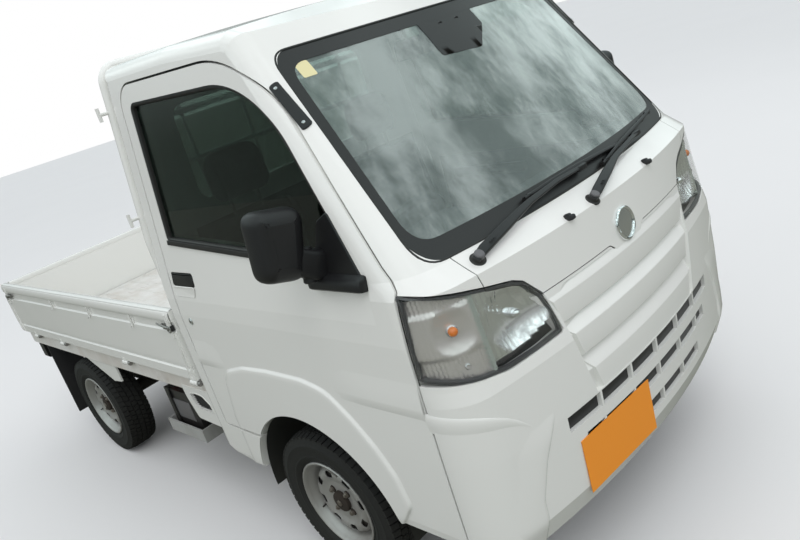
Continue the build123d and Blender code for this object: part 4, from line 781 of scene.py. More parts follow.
@dataclass(frozen=True)
class CabForm:
    """The cab's outer form, as the solids have it: plan sections at a row of heights."""

    # Each row: height, nose X, half width, front corner radius.
    levels: tuple[Row, ...] = (
        (290, 1667.5, 724, 110), (360, 1693.5, 733, 120), (600, 1697.5, 735, 130), (775, 1694.5, 735, 130),
        (815, 1685.5, 735, 135), (930, 1669.5, 735, 140), (1050, 1655.5, 728, 140), (1092, 1596.5, 718, 125),
        (1645, 1197.5, 645, 80), (1810, 1078.5, 622, 75),
    )
    arc: float = 2800.0

    def plan(self, height: float) -> Row:
        """Nose X, half width, corner radius, and the corner's centre X and start angle, at a height."""
        for low, high in zip(self.levels, self.levels[1:]):
            if height <= high[0]:
                break
        share = (height - low[0]) / (high[0] - low[0])
        nose, half, corner = (a + (b - a) * share for a, b in zip(low[1:], high[1:]))
        centre = nose - self.arc + math.sqrt((self.arc - corner) ** 2 - (half - corner) ** 2)
        return nose, half, corner, centre, math.atan2(half - corner, centre - nose + self.arc)

    def spot(self, along: float, height: float) -> Vector:
        """A place on the left half of the skin: distance round it from the middle, and height."""
        nose, half, corner, centre, start = self.plan(height)
        if along <= self.arc * start:
            turn = along / self.arc
            return Vector((nose - self.arc + self.arc * math.cos(turn), self.arc * math.sin(turn), height))
        turn = start + (along - self.arc * start) / corner
        if turn < math.pi / 2:
            return Vector((centre + corner * math.cos(turn), half - corner + corner * math.sin(turn), height))
        return Vector((centre - (turn - math.pi / 2) * corner, half, height))

    def at(self, along: float, height: float, out: float = 0.0) -> Vector:
        """A place that stands off the skin by a distance, on the left half; a negative along is on the right."""
        here = self.spot(abs(along), height)
        if out:
            here = here + self.normal(abs(along), height) * out
        return Vector((here.x, -here.y if along < 0 else here.y, here.z))

    def normal(self, along: float, height: float) -> Vector:
        """The skin's outward direction on the left half."""
        across = self.spot(along + 1, height) - self.spot(max(along - 1, 0.0), height)
        up = self.spot(along, height + 1) - self.spot(along, height - 1)
        return across.cross(up).normalized()

    def round_to(self, y: float, height: float) -> float:
        """Distance round the skin from the middle to a place across the front."""
        _, half, corner, _, start = self.plan(height)
        side = math.copysign(1, y)
        y = abs(y)
        if y <= self.arc * math.sin(start):
            return side * self.arc * math.asin(y / self.arc)
        turn = math.asin(min(1.0, (y - half + corner) / corner))
        return side * (self.arc * start + corner * (turn - start))

    def side_to(self, x: float, height: float) -> float:
        """Distance round the skin from the middle to an X on the side."""
        _, _, corner, centre, start = self.plan(height)
        if x <= centre:
            return self.arc * start + corner * (math.pi / 2 - start) + centre - x
        turn = math.acos(min(1.0, (x - centre) / corner))
        return self.arc * start + corner * (turn - start)

    def front(self, y: float, height: float, out: float = 0.0) -> Vector:
        """A place on the front skin from its Y and height."""
        return self.at(self.round_to(y, height), height, out)

    def flank(self, x: float, height: float, out: float = 0.0) -> Vector:
        """A place on the left side's skin from its X and height."""
        return self.at(self.side_to(x, height), height, out)


CAB = CabForm()


# Studio

@dataclass(frozen=True)
class Viewpoint:
    """The photograph's camera, solved from the truck's known sizes."""

    place: Row = (2640.02, -1694.02, 1618.67)
    yaw: float = 138.996
    pitch: float = -18.936
    roll: float = -17.020
    focal: float = 707.616
    centre: Row = (400.58, 279.41)
    frame: Row = (800.0, 540.0)
    sensor: float = 36.0

    def build(self) -> bpy.types.Object:
        """Makes the camera and the scene's view of it."""
        yaw, pitch, roll = (math.radians(turn) for turn in (self.yaw, self.pitch, self.roll))
        ahead = Vector((math.cos(pitch) * math.cos(yaw), math.cos(pitch) * math.sin(yaw), math.sin(pitch)))
        level = ahead.cross(Vector((0, 0, 1))).normalized()
        lift = level.cross(ahead)
        right = math.cos(roll) * level + math.sin(roll) * lift
        up = -math.sin(roll) * level + math.cos(roll) * lift
        data = bpy.data.cameras.new("view_camera")
        data.sensor_width = self.sensor
        data.lens = self.focal / self.frame[0] * self.sensor
        data.shift_x = (self.frame[0] / 2 - self.centre[0]) / self.frame[0]
        data.shift_y = (self.centre[1] - self.frame[1] / 2) / self.frame[0]
        made = bpy.data.objects.new("view_camera", data)
        turn = Matrix((right, up, -ahead)).transposed().to_4x4()
        made.matrix_world = Matrix.Translation(Vector(self.place) * MM) @ turn
        bpy.context.scene.collection.objects.link(made)
        bpy.context.scene.camera = made
        return made


@dataclass(frozen=True)
class Studio:
    """Pale floor, soft lamps and a white surround."""

    floor_half: float = 45.0
    floor_colour: Colour = (0.80, 0.80, 0.79)
    sky: Colour = (0.93, 0.96, 1.0)
    sky_strength: float = 0.95
    # What shows in reflections: broken cloud over a dark skyline.
    cloud_bright: Colour = (1.45, 1.68, 1.66)
    cloud_dark: Colour = (0.36, 0.45, 0.45)
    skyline: Colour = (0.10, 0.11, 0.10)
    # The floor as every ray but the camera's sees it.
    floor_shown: Colour = (0.20, 0.205, 0.165)
    # Each row: X, Y, Z, size, power in watts.
    lamps: tuple[Row, ...] = (
        (4.5, -2.5, 6.5, 4.5, 115.0),
        (-1.0, -5.5, 6.0, 4.0, 20.0),
        (0.5, 5.5, 6.0, 5.0, 30.0),
    )
    # What the lamps aim at.
    aim: Row = (0.0, 0.0, 0.7)

    def build(self) -> None:
        """Makes the floor, the lamps and the world."""
        self._floor()
        self._world()
        for number, (x, y, z, size, power) in enumerate(self.lamps):
            data = bpy.data.lights.new(f"soft_lamp_{number}", "AREA")
            data.shape = "DISK"
            data.size = size
            data.energy = power
            lamp = bpy.data.objects.new(data.name, data)
            lamp.location = (x, y, z)
            lamp.visible_glossy = False
            lamp.rotation_mode = "QUATERNION"
            lamp.rotation_quaternion = (Vector(self.aim) - Vector((x, y, z))).to_track_quat("-Z", "Y")
            bpy.context.scene.collection.objects.link(lamp)
        bpy.context.scene.view_settings.view_transform = "Standard"

    def _floor(self) -> None:
        """Makes the floor."""
        half = self.floor_half
        mesh = bpy.data.meshes.new("studio_floor")
        mesh.from_pydata([(-half, -half, 0), (half, -half, 0), (half, half, 0), (-half, half, 0)], [], [(0, 1, 2, 3)])
        floor = bpy.data.objects.new("studio_floor", mesh)
        bpy.context.scene.collection.objects.link(floor)
        made, tree, shader = new_material("studio_floor")
        base = tree.mix(tree.noise(tree.place(), 0.6, 2.0), rgba(self.floor_colour, 0.97), rgba(self.floor_colour))
        seen = tree.add("ShaderNodeLightPath").outputs["Is Camera Ray"]
        tree.feed(shader, {"Base Color": tree.mix(seen, rgba(self.floor_shown), base), "Roughness": 0.9})
        mesh.materials.append(made)

    def _world(self) -> None:
        """Makes a plain sky that lamps the truck softly and shows white behind it."""
        world = bpy.data.worlds.new("studio_world")
        bpy.context.scene.world = world
        world.use_nodes = True
        world.node_tree.nodes.clear()
        tree = Tree(world.node_tree)
        path = tree.add("ShaderNodeLightPath").outputs
        seen = tree.maths("MAXIMUM", path["Is Camera Ray"], path["Is Transmission Ray"])
        soft = tree.add("ShaderNodeBackground", {"Color": rgba(self.sky), "Strength": self.sky_strength})
        plain = tree.add("ShaderNodeBackground", {"Color": (1.0, 1.0, 1.0, 1.0), "Strength": 1.0})
        way = tree.add("ShaderNodeTexCoord").outputs["Generated"]
        cloud = tree.ramp(tree.noise(way, 4.6, 8.0, 0.66), 0.38, 0.64)
        wisps = tree.mix(cloud, rgba(self.cloud_dark), rgba(self.cloud_bright))
        rise = tree.ramp(tree.add("ShaderNodeSeparateXYZ", {0: way}).outputs[2], 0.05, 0.34)
        seen_sky = tree.mix(rise, rgba(self.skyline), wisps)
        shown = tree.add("ShaderNodeBackground", {"Color": seen_sky, "Strength": 1.0})
        bright = tree.add("ShaderNodeMixShader", {0: path["Is Glossy Ray"], 1: soft.outputs[0], 2: shown.outputs[0]})
        both = tree.add("ShaderNodeMixShader", {0: seen, 1: bright.outputs[0], 2: plain.outputs[0]})
        tree.add("ShaderNodeOutputWorld", {"Surface": both.outputs[0]})


# Sub-assemblies

@dataclass
class Headlamps:
    """Both headlamps: lens, border, reflectors and bulbs behind the skin."""

    shop: Workshop
    # Each row: distance round the skin, height, corner radius. Anticlockwise from the low inner corner.
    outline: tuple[Row, ...] = (
        (374, 811, 6), (470, 806, 40), (564, 806, 120), (635, 815, 160), (715, 830, 120), (806.5, 847, 5),
        (798, 900, 0), (790, 950, 0), (782, 1000, 0), (773, 1067, 5), (707, 1050, 100), (555, 1012, 120),
        (477, 994, 20), (444, 978, 20), (398, 926, 6), (382, 882, 0),
    )
    # Width of the dark border, thickness of the lens, depth of the lamp's well, and pitch of the reflector's mesh.
    border: float = 7.5
    lens_thick: float = 2.5
    well: float = 36.0
    pitch: float = 6.0
    # Bowls in the reflector sheet. Each row: distance round, height, half width, half height, depth.
    bowls: tuple[Row, ...] = (
        (482, 915, 104, 88, 33.0),
        (672, 945, 62, 70, 26.0),
        (668, 858, 46, 22, 20.0),
    )
    # Upright bar between the bowls, from one distance round to another.
    divider: tuple[float, float] = (596.0, 610.0)
    # Depths behind the skin: the plain sheet, the bar, and the dark tray under the large bowl.
    sheet_depth: float = 9.0
    divider_depth: float = 7.0
    tray_depth: float = 30.0
    tray_level: float = 838.0
    # A bulb for each bowl. Each row: distance round, height, radius, length, material.
    bulbs: tuple[Row, ...] = ((482, 912, 11, 24, 3), (672, 950, 12, 21, 1), (668, 858, 6, 12, 2))

    def build(self) -> None:
        """Makes every piece of the two lamps."""
        self._lens()
        self._border()
        self._reflector()
        self._bulbs()

    def _loop(self, inset: float) -> list[Row]:
        """The lamp's outline, drawn in by a distance."""
        loop = rounded_loop(self.outline, steps=5, pitch=9.0)
        return inset_loop(loop, inset) if inset else loop

    def _lens(self) -> None:
        """Makes the clear outer lens."""
        shape = Shape()
        loop = self._loop(0.6)
        shape.sheet([loop], CAB.at, 11.0)
        shape.sheet([loop], lambda a, z: CAB.at(a, z, -self.lens_thick), 11.0, flip=True)
        shape.grid([[CAB.at(a, z, out) for a, z in loop] for out in (-self.lens_thick, 0.0)], closed=True)
        self.shop.place("headlamp_lenses", shape.mirrored(), LENS_CLEAR, "truck", Slot.LAMP, ("headlamps",))

    def _border(self) -> None:
        """Makes the dark frame behind the lens edge, back to the lamp's well."""
        front, back, lip = -self.lens_thick - 0.6, -self.well - 1.5, -12.0
        outer, inner, foot = self._loop(1.0), self._loop(self.border), self._loop(self.border + 3)
        shape = Shape().sheet([outer, inner], lambda a, z: CAB.at(a, z, front), 12.0)
        for near, far, deep in ((inner, foot, lip), (outer, outer, back)):
            edges = ((near, front), (far, deep))
            shape.grid([[CAB.at(a, z, out) for a, z in loop] for loop, out in edges], closed=True)
        shape.sheet([outer], lambda a, z: CAB.at(a, z, back), 20.0, flip=True)
        self.shop.place("headlamp_frames", shape.mirrored(), LAMP_FRAME, "truck", Slot.LAMP, closed=False)

    def _depth(self, along: float, height: float) -> tuple[float, int]:
        """How far the reflector sheet lies behind the skin at a place, and the number of its material."""
        low, high = self.divider
        if low <= along <= high:
            return self.divider_depth, 2
        if along < low and height < self.tray_level + max(0.0, (470 - along)) * 0.22:
            return self.tray_depth, 3
        # The deepest bowl on this side of the bar counts; beyond a bowl the plain sheet shows.
        best = 0.0
        for middle, level, wide, tall, deep in self.bowls:
            if (middle < low) != (along < low):
                continue
            share = ((along - middle) / wide) ** 2 + ((height - level) / tall) ** 2
            best = max(best, deep * (1 - share * 0.72) if share < 1.35 else 0.0)
        # Upright flutes run beside the large bowl, and down the outer part, which also has a ledge above and below.
        flute = 0.8 * math.cos(along * 0.42) if 520 < along < low or along < 420 else 0.0
        if along > high:
            ledge = 6.0 * min(1.0, max(0.0, (height - 1000) / 8)) + 9.0 * min(1.0, max(0.0, (896 - height) / 8))
            best = max(best, self.sheet_depth + ledge + 2.0 * math.cos(along * 0.5))
        return self.sheet_depth + max(best - self.sheet_depth, 0.0) + flute, 0 if along < low else 1

    def _reflector(self) -> None:
        """Makes the bright bowls as one sheet."""
        points, faces = triangles([self._loop(self.border - 1.0)], self.pitch)
        shape = Shape().add([CAB.at(a, z, -self._depth(a, z)[0]) for a, z in points], faces)
        middles = [[sum(points[k][axis] for k in face) / 3 for axis in (0, 1)] for face in faces]
        shape.marks = [self._depth(a, z)[1] for a, z in middles]
        self.shop.place("headlamp_reflectors", shape.mirrored(), (CHROME, LAMP_SMOKE, LAMP_DIVIDER, SOFT_BLACK),
                        "truck", Slot.LAMP, sharp=50.0, closed=False)

    def _bulbs(self) -> None:
        """Makes the bulbs, each a turned glass on a metal cap."""
        shape = Shape()
        for (along, height, radius, long, mark), (*_, deep) in zip(self.bulbs, self.bowls):
            axis = CAB.normal(along, height)
            base = CAB.at(along, height, -deep)
            shape.lathe(((0, -1), (radius * 1.25, -1), (radius * 1.25, 4), (radius, 5)), base, axis, 20, 0)
            dome = [(radius * math.cos(turn), 5 + (long - 5) * (0.35 + 0.65 * math.sin(turn)))
                    for turn in span(0, math.pi / 2, 7)]
            shape.lathe([(radius, 5), *dome], base, axis, 20, mark)
        self.shop.place("headlamp_bulbs", shape.mirrored(), (SATIN_CHROME, AMBER_GLASS, LENS_CLEAR, CHROME),
                        "truck", Slot.LAMP)


@dataclass
class Windscreen:
    """Black printed edge, seal, washer jets and sticker of the windscreen."""

    shop: Workshop
    # Left half of the screen's edge, and the printed band's width at the sides and at the foot.
    half: tuple[Row, ...] = ((643, 1098, 60), (584, 1645, 55))
    edge_width: float = 24.0
    low_width: float = 46.0
    # Printed patch in front of the inner mirror. Each row: Y, Z, corner radius.
    tab: tuple[Row, ...] = (
        (-128, 1512, 12), (40, 1500, 12), (122, 1560, 10), (122, 1612, 0), (-122, 1612, 0), (-122, 1570, 8),
    )
    # Depths of the printed faces behind the skin, front and back, for the band and for the patch.
    band_gaps: Row = (-1.6, -2.2)
    tab_gaps: Row = (-1.7, -2.1)
    seal_gap: float = -1.6
    # Washer jets: distance from the middle and height.
    jets: Row = (221.0, 1052.0)

    def build(self) -> None:
        """Makes every piece on and round the windscreen."""
        self._print()
        self._seal()
        self._jets()
        self._sticker()

    def _outline(self, low: float, side: float, high: float) -> list[Row]:
        """The screen's edge drawn in by a width at the foot, the sides and the top."""
        (y0, z0, r0), (y1, z1, r1) = self.half
        rows = [
            (-(y0 - side), z0 + low, r0), (y0 - side, z0 + low, r0),
            (y1 - side, z1 - high, r1), (-(y1 - side), z1 - high, r1),
        ]
        return rounded_loop(rows, steps=8, pitch=30.0)

    def _print(self) -> None:
        """Makes the black band printed round the glass and the patch at its top."""
        shape = Shape()
        outer, inner = self._outline(1, 1, 1), self._outline(self.low_width, self.edge_width, self.edge_width + 12)
        tab = rounded_loop(self.tab, steps=4, pitch=24.0)
        for loops, gaps, rims in (((outer, inner), self.band_gaps, (outer, inner)), ((tab,), self.tab_gaps, ())):
            for gap, flip in zip(gaps, (False, True)):
                shape.sheet(loops, lambda y, z, gap=gap: CAB.front(y, z, gap), 26.0, flip=flip)
            for loop in rims:
                shape.grid([[CAB.front(y, z, gap) for y, z in loop] for gap in gaps], closed=True)
        self.shop.place("windscreen_band", shape, SOFT_BLACK, "truck", Slot.BLACK, closed=False)

    def _seal(self) -> None:
        """Makes the rubber that closes the gap round the glass."""
        loop = self._outline(-1.5, -1.5, -1.5)
        path = [CAB.front(y, z, self.seal_gap) for y, z in loop]
        ups = [CAB.normal(abs(CAB.round_to(y, z)), z) for y, z in loop]
        ups = [Vector((up.x, math.copysign(up.y, y), up.z)) for up, (y, _) in zip(ups, loop)]
        section = ((-3.2, -2.2), (3.2, -2.2), (3.2, 1.2), (1.6, 2.4), (-1.6, 2.4), (-3.2, 1.2))
        shape = Shape().tube(path, section, ups, closed=True)
        self.shop.place("windscreen_seal", shape, RUBBER_TRIM, "truck", Slot.BLACK)

    def _jets(self) -> None:
        """Makes the two washer jets on the cover."""
        shape = Shape()
        turn = Matrix.Rotation(-0.25, 4, "Y")
        for side in (-1, 1):
            here = CAB.front(side * self.jets[0], self.jets[1])
            shape.block(here + Vector((1, 0, 3)), (30, 20, 14), 4.5, turn)
            shape.block(here + Vector((-4, 0, 8)), (19, 15, 12), 4.0, turn)
        self.shop.place("washer_jets", shape, BLACK_TRIM, "truck", Slot.BLACK)

    def _sticker(self) -> None:
        """Makes the small blank sticker high in the screen's right corner."""
        shape = Shape().slab(box_loop((-548, 1568), (-508, 1608), 5, steps=4), CAB.front, ((0, -2.9), (0, -2.2)))
        self.shop.place("windscreen_sticker", shape, STICKER, "truck", Slot.PLATE)


@dataclass
class Wheel:
    """One wheel: its tyre with ribbed walls and a cut tread, its pressed rim, hub, nuts, valve and weight."""

    shop: Workshop
    name: str
    axle: float
    side: int
    middle: float = 652.0
    height: float = 267.0
    radius: float = 267.0
    blocks: int = 62
    studs: int = 4
    stud_ring: float = 50.0
    # Outer wall of the tyre from the bead to the shoulder. Each row: radius, distance from the wheel's middle.
    wall: tuple[Row, ...] = (
        (152.5, 57), (158, 61.5), (165, 62.5), (168, 60.8), (172, 64.5), (186, 70.5), (188, 71.6), (192, 71.6),
        (194, 70.8), (212, 73.2), (226, 73.4), (228, 74.2), (231, 74.2), (233, 73.0), (244, 70.0), (249, 68.4),
    )
    # Floor between the tread's blocks, from one shoulder to the middle. Each row: rise, distance out.
    floor: tuple[Row, ...] = ((-3, 66.5), (0, 58), (1.5, 30), (2, 0))
    floor_depth: float = 9.5
    # Tread rows. Each: low and high edge across the tread, shift, share of the pitch, skew, drop of the outer edge.
    tread: tuple[Row, ...] = (
        (41, 67.5, 0.0, 0.80, 0.05, 7.0), (15, 38, 0.5, 0.84, 0.22, 0.4), (-12, 12, 0.2, 0.90, -0.15, 0.0),
        (-38, -15, 0.5, 0.84, 0.22, 0.4), (-67.5, -41, 0.0, 0.80, 0.05, 7.0),
    )
    shoulder: float = 60.0
    # Rim section inside the outer bead. Each row: radius, distance out along the axle.
    rim_profile: tuple[Row, ...] = (
        (163.5, 58), (163.5, 65), (161, 67), (157, 66.5), (153, 62), (150.5, 56), (148, 47), (143, 40), (140, 22),
        (137, 6), (135, 2),
    )
    # Disc from the rim's well to the hub. Each row: radius, distance out.
    disc_profile: tuple[Row, ...] = (
        (136, 2), (132, 12), (126, 27), (119, 38), (112, 43), (103, 45), (94, 44), (86, 40), (79, 36.5), (72, 34.6),
        (66, 34.5), (60, 35), (56, 35.2), (40, 35.2), (37, 35.2),
    )
    disc_thick: float = 3.0
    vents: int = 8
    vent_ring: float = 103.0
    # A vent's outline. Each row: round the disc, outwards, corner radius.
    vent: tuple[Row, ...] = ((-16, -12, 9), (16, -12, 9), (20, 13, 10), (-20, 13, 10))
    # Drum behind the vents, in near-black: a real drum, darkened to paint the shade inside the wheel. Each row:
    # radius, distance out.
    painted_shade_drum: tuple[Row, ...] = (
        (82, 28), (90, 35), (104, 36), (113, 33), (119, 26), (119, 20), (82, 20), (82, 28),
    )
    # Angles of the valve and of the balance weight on the rim, in degrees.
    valve_turn: float = 205.0
    weight_turn: float = 70.0

    def build(self) -> None:
        """Makes the wheel's pieces and puts the detailed tyre and rim in the plain ones' place."""
        self._tyre()
        self._hub()
        self._rim()
        self._valve()

    @property
    def origin(self) -> Vector:
        """The middle of the wheel."""
        return Vector((self.axle, self.side * self.middle, self.height))

    @property
    def axis(self) -> Vector:
        """The outward direction of the axle."""
        return Vector((0, self.side, 0))

    @staticmethod
    def _ray(turn: float) -> Vector:
        """The direction away from the axle at an angle."""
        return Vector((math.cos(turn), 0, math.sin(turn)))

    def _place(self, name: str, shape: Shape, finish: object, slot: Slot, replaces: str = "", **more: object) -> None:
        """Places a piece on this wheel's body."""
        nodes = (f"{replaces}_{self.name}",) if replaces else ()
        self.shop.place(f"{name}_{self.name}", shape, finish, f"wheel_{self.name}", slot, nodes, **more)

    def _turned(self, shape: Shape, profile: Sequence[Row], steps: int, mark: int = 0) -> None:
        """Adds a profile turned round the axle."""
        shape.lathe(profile, self.origin, self.axis, steps, mark)

    def _tyre(self) -> None:
        """Makes the tyre: sidewalls with ribs, and a tread of cut blocks."""
        shape = Shape()
        base = self.radius - self.floor_depth
        floor = [(base + rise, reach) for rise, reach in self.floor]
        half = [*self.wall, *floor]
        self._turned(shape, half + [(radius, -reach) for radius, reach in half[-2::-1]], 96)
        for row in self.tread:
            self._blocks(shape, base, *row)
        self._place("tyre_tread", shape, RUBBER, Slot.TYRE, "tyre", sharp=28.0)

    def _blocks(self, shape: Shape, base: float, low: float, high: float, shift: float, share: float, skew: float,
                drop: float) -> None:
        """Adds one row of tread blocks.

        Args:
            shape: what they are added to.
            base: radius of the floor between them.
            low: the row's low edge across the tread.
            high: its high edge.
            shift: its turn, as a share of the pitch.
            share: length of a block, as a share of the pitch.
            skew: how far a block leans over its width, as a share of the pitch.
            drop: how far its outer edge falls.
        """
        step = 2 * math.pi / self.blocks
        for number in range(self.blocks):
            turn = (number + shift) * step
            corners = []
            for reach in (low, high):
                outer = abs(reach) > self.shoulder
                fall = drop if outer else (drop * 0.12 if drop > 1 else 0.0)
                for edge in (-0.5, 0.5):
                    ray = self._ray(turn + edge * share * step + skew * step * (reach - low) / (high - low))
                    foot = self.origin + self.axis * reach
                    corners.append((foot + ray * (base - 5 - (3 if outer else 0)),
                                    foot + ray * (self.radius - 0.2 - fall)))
            (a, a1), (b, b1), (c, c1), (d, d1) = corners
            shape.add((a, b, d, c, a1, b1, d1, c1),
                      ((4, 5, 6, 7), (0, 1, 5, 4), (1, 2, 6, 5), (2, 3, 7, 6), (3, 0, 4, 7)))

    def _hub(self) -> None:
        """Makes the rusty hub, its centre cap and the wheel nuts."""
        shape = Shape()
        self._turned(shape, ((0, 51.5), (13, 51.5), (17, 50), (31, 49.5), (35.5, 47.5), (37, 44), (37.5, 35.2)), 32)
        self._turned(shape, ((0, 55.5), (9, 55.5), (11.5, 54), (12, 51)), 6, 1)
        for number in range(self.studs):
            spot = self.origin + self._ray(math.pi / 4 + 2 * math.pi * number / self.studs) * self.stud_ring
            shape.lathe(((0, 50), (4.8, 50), (5.8, 49), (5.8, 45)), spot, self.axis, 14, 1)
            shape.lathe(((5.5, 46.5), (8.6, 46.3), (9.6, 45), (9.8, 36)), spot, self.axis, 6, 1)
            shape.lathe(((9.0, 37.8), (12.5, 36.8), (13.0, 35), (13.0, 33)), spot, self.axis, 20, 0)
        self._place("wheel_hub", shape, (RUSTY_STEEL, NUT_STEEL), Slot.STEEL)

    def _disc(self, u: float, v: float, back: float = 0.0) -> Vector:
        """A place on the disc's face from its across and up."""
        radius = math.hypot(u, v)
        for (r0, out0), (r1, out1) in zip(self.disc_profile, self.disc_profile[1:]):
            if radius >= r1:
                break
        share = min(1.0, max(0.0, (r0 - radius) / (r0 - r1)))
        return self.origin + Vector((u, 0, v)) + self.axis * (out0 + (out1 - out0) * share - back)

    def _rim(self) -> None:
        """Makes the rim and its disc with vent holes."""
        shape = Shape()
        barrel = [(139, -50), (146, -44), (152, -58), (163.5, -60), (163.5, -66), (160, -66)]
        self._turned(shape, self.rim_profile, 72)
        self._turned(shape, [*self.rim_profile[-1:], (131, -10), (136, -40), *barrel], 48)
        self._turned(shape, ((163.5, 58), (152, 55), (150, 40), (146, 20), (140, 0), (139, -50)), 48)
        loops = [ring(136, 64), ring(37, 32)]
        hole = rounded_loop(self.vent, steps=4)
        for number in range(self.vents):
            turn = 2 * math.pi * (number + 0.22) / self.vents
            loops.append([
                (self.vent_ring * math.cos(turn) - u * math.sin(turn) + v * math.cos(turn),
                 self.vent_ring * math.sin(turn) + u * math.cos(turn) + v * math.sin(turn)) for u, v in hole])
        for back in (0.0, self.disc_thick):
            shape.sheet(loops, lambda u, v, back=back: self._disc(u, v, back), 8.0)
        for loop in loops[2:]:
            inner = [self._disc(u * 0.995, v * 0.995, self.disc_thick) for u, v in loop]
            shape.grid([[self._disc(u, v) for u, v in loop], inner], closed=True)
        self._place("wheel_rim", shape, WHEEL_PAINT, Slot.SILVER, "rim", closed=False)

    def _valve(self) -> None:
        """Makes the drum behind the vents, in a near-black that paints the shade inside the wheel, and the valve and
        a balance weight.
        """
        shape = Shape()
        # The drum takes the near-black finish: painted shade, so the vents read dark.
        self._turned(shape, self.painted_shade_drum, 48, 1)
        ray = self._ray(math.radians(self.valve_turn))
        foot = self.origin + ray * 134 + self.axis * 22
        shape.tube((foot, foot - ray * 6 + self.axis * 12, foot - ray * 9 + self.axis * 30), ring(3.2, 10),
                   (1, 0, 0.3), mark=1)
        weight = math.radians(self.weight_turn)
        path = [self.origin + self._ray(weight + share) * 156 + self.axis * 67.5 for share in span(-0.12, 0.12, 6)]
        shape.tube(path, ((-3, -4), (3, -4), (3, 3), (1, 4), (-1, 4), (-3, 3)), self.axis)
        self._place("wheel_valve", shape, (DULL_STEEL, SOFT_BLACK), Slot.STEEL)


# Each row: the wheel's name, the X of its axle and its side.
WHEELS = (
    ("front_right", 888.0, -1),
    ("front_left", 888.0, 1),
    ("rear_right", -1012.0, -1),
    ("rear_left", -1012.0, 1),
)


@dataclass
class Mirrors:
    """Both door mirrors: a rounded head round its glass, a hinged arm and a foot on the door."""

    shop: Workshop
    centre: Row = (1201.0, 806.0, 1224.0)
    lean: float = 13.0
    # Outline of the head. Each row: outwards, up, corner radius.
    outline: tuple[Row, ...] = ((-58, -94, 34), (60, -84, 40), (79, 88, 34), (-76, 90, 44))
    # Shell from the glass forward. Each row: inset, distance forward.
    shell: tuple[Row, ...] = (
        (9, 6), (8, -1), (5, -4), (1.5, -3), (0, 2), (-1, 14), (-0.5, 26), (2, 37), (6, 46), (13, 53.5), (24, 58.5),
        (38, 61),
    )
    # Foot plate on the door. Each row: X, Z, corner radius.
    foot: tuple[Row, ...] = ((1188, 1072, 6), (1403, 1072, 12), (1304, 1266, 10), (1260, 1244, 12))
    # Shelf along the foot's lower edge: its section as Z and distance out, the share of it at rows of X, and the
    # height that its ends close on.
    shelf: tuple[Row, ...] = ((1071, 1), (1071, 17), (1075, 23), (1083, 25), (1100, 24), (1107, 19), (1114, 3))
    shelf_rows: tuple[Row, ...] = (
        (1399, 0.0), (1398, 0.5), (1393, 0.85), (1384, 1.0), (1300, 1.0), (1214, 1.0), (1199, 0.95), (1194, 0.8),
        (1193, 0.0),
    )
    shelf_level: float = 1090.0
    # Arm between the foot and the head. Each row: X, Y, Z, size of its section.
    arm: tuple[Row, ...] = (
        (1246, 702, 1136, 0.8), (1243, 716, 1138, 1.0), (1239, 738, 1146, 0.98), (1236, 758, 1158, 0.92),
        (1236, 776, 1170, 0.85),
    )
    # Barrel of the arm's hinge. Each row: radius, distance along it.
    barrel: tuple[Row, ...] = ((0, -46), (14, -46), (17, -43), (17, 40), (14, 44), (0, 44))

    def build(self) -> None:
        """Makes both mirrors."""
        self._heads()
        self._feet()

    def _at(self, u: float, v: float, out: float) -> Vector:
        """A place on the head from its outwards, up and forward."""
        x, y, z = self.centre
        cosine, sine = math.cos(math.radians(self.lean)), math.sin(math.radians(self.lean))
        return Vector((x + out, y + u * cosine - v * sine, z + u * sine + v * cosine))

    def _heads(self) -> None:
        """Makes the shell and the glass of each head."""
        loop = rounded_loop(self.outline, steps=9, pitch=12.0)
        shape = Shape()
        rows = [[self._at(u, v, out) for u, v in inset_loop(loop, inset)] for inset, out in self.shell]
        shape.grid(rows, closed=True)
        inset, front = self.shell[-1]
        shape.sheet([inset_loop(loop, inset)],
                    lambda u, v: self._at(u, v, front + 0.8 * (1 - (u * u / 1600 + v * v / 3000))), 14.0)
        shape.sheet([inset_loop(loop, 8.8)], lambda u, v: self._at(u, v, 2.5), 40.0, 1, flip=True)
        self.shop.pair("mirror_head", shape, (SMOOTH_BLACK, MIRROR_GLASS), "door_", Slot.BLACK, "mirror", sharp=40.0)

    def _feet(self) -> None:
        """Makes each foot plate, its shelf, and the arm with its hinge."""
        shape = Shape()
        loop = rounded_loop(self.foot, steps=5, pitch=25.0)
        shape.slab(loop, CAB.flank, ((0, -10), (0, 2), (2, 4), (8, 4.6)), pitch=25.0)
        level = self.shelf_level
        shape.grid([[CAB.flank(x, level + (z - level) * (0.75 + 0.25 * grow), out * grow) for z, out in self.shelf]
                    for x, grow in self.shelf_rows])
        shape.tube([row[:3] for row in self.arm], box_loop((-26, -40), (26, 40), 16, steps=4), (0, 0.25, 1),
                   sizes=[row[3] for row in self.arm])
        shape.lathe(self.barrel, (1238, 750, 1150), (0, -0.22, 1), 24)
        self.shop.pair("mirror_foot", shape, SMOOTH_BLACK, "door_", Slot.BLACK, closed=False)


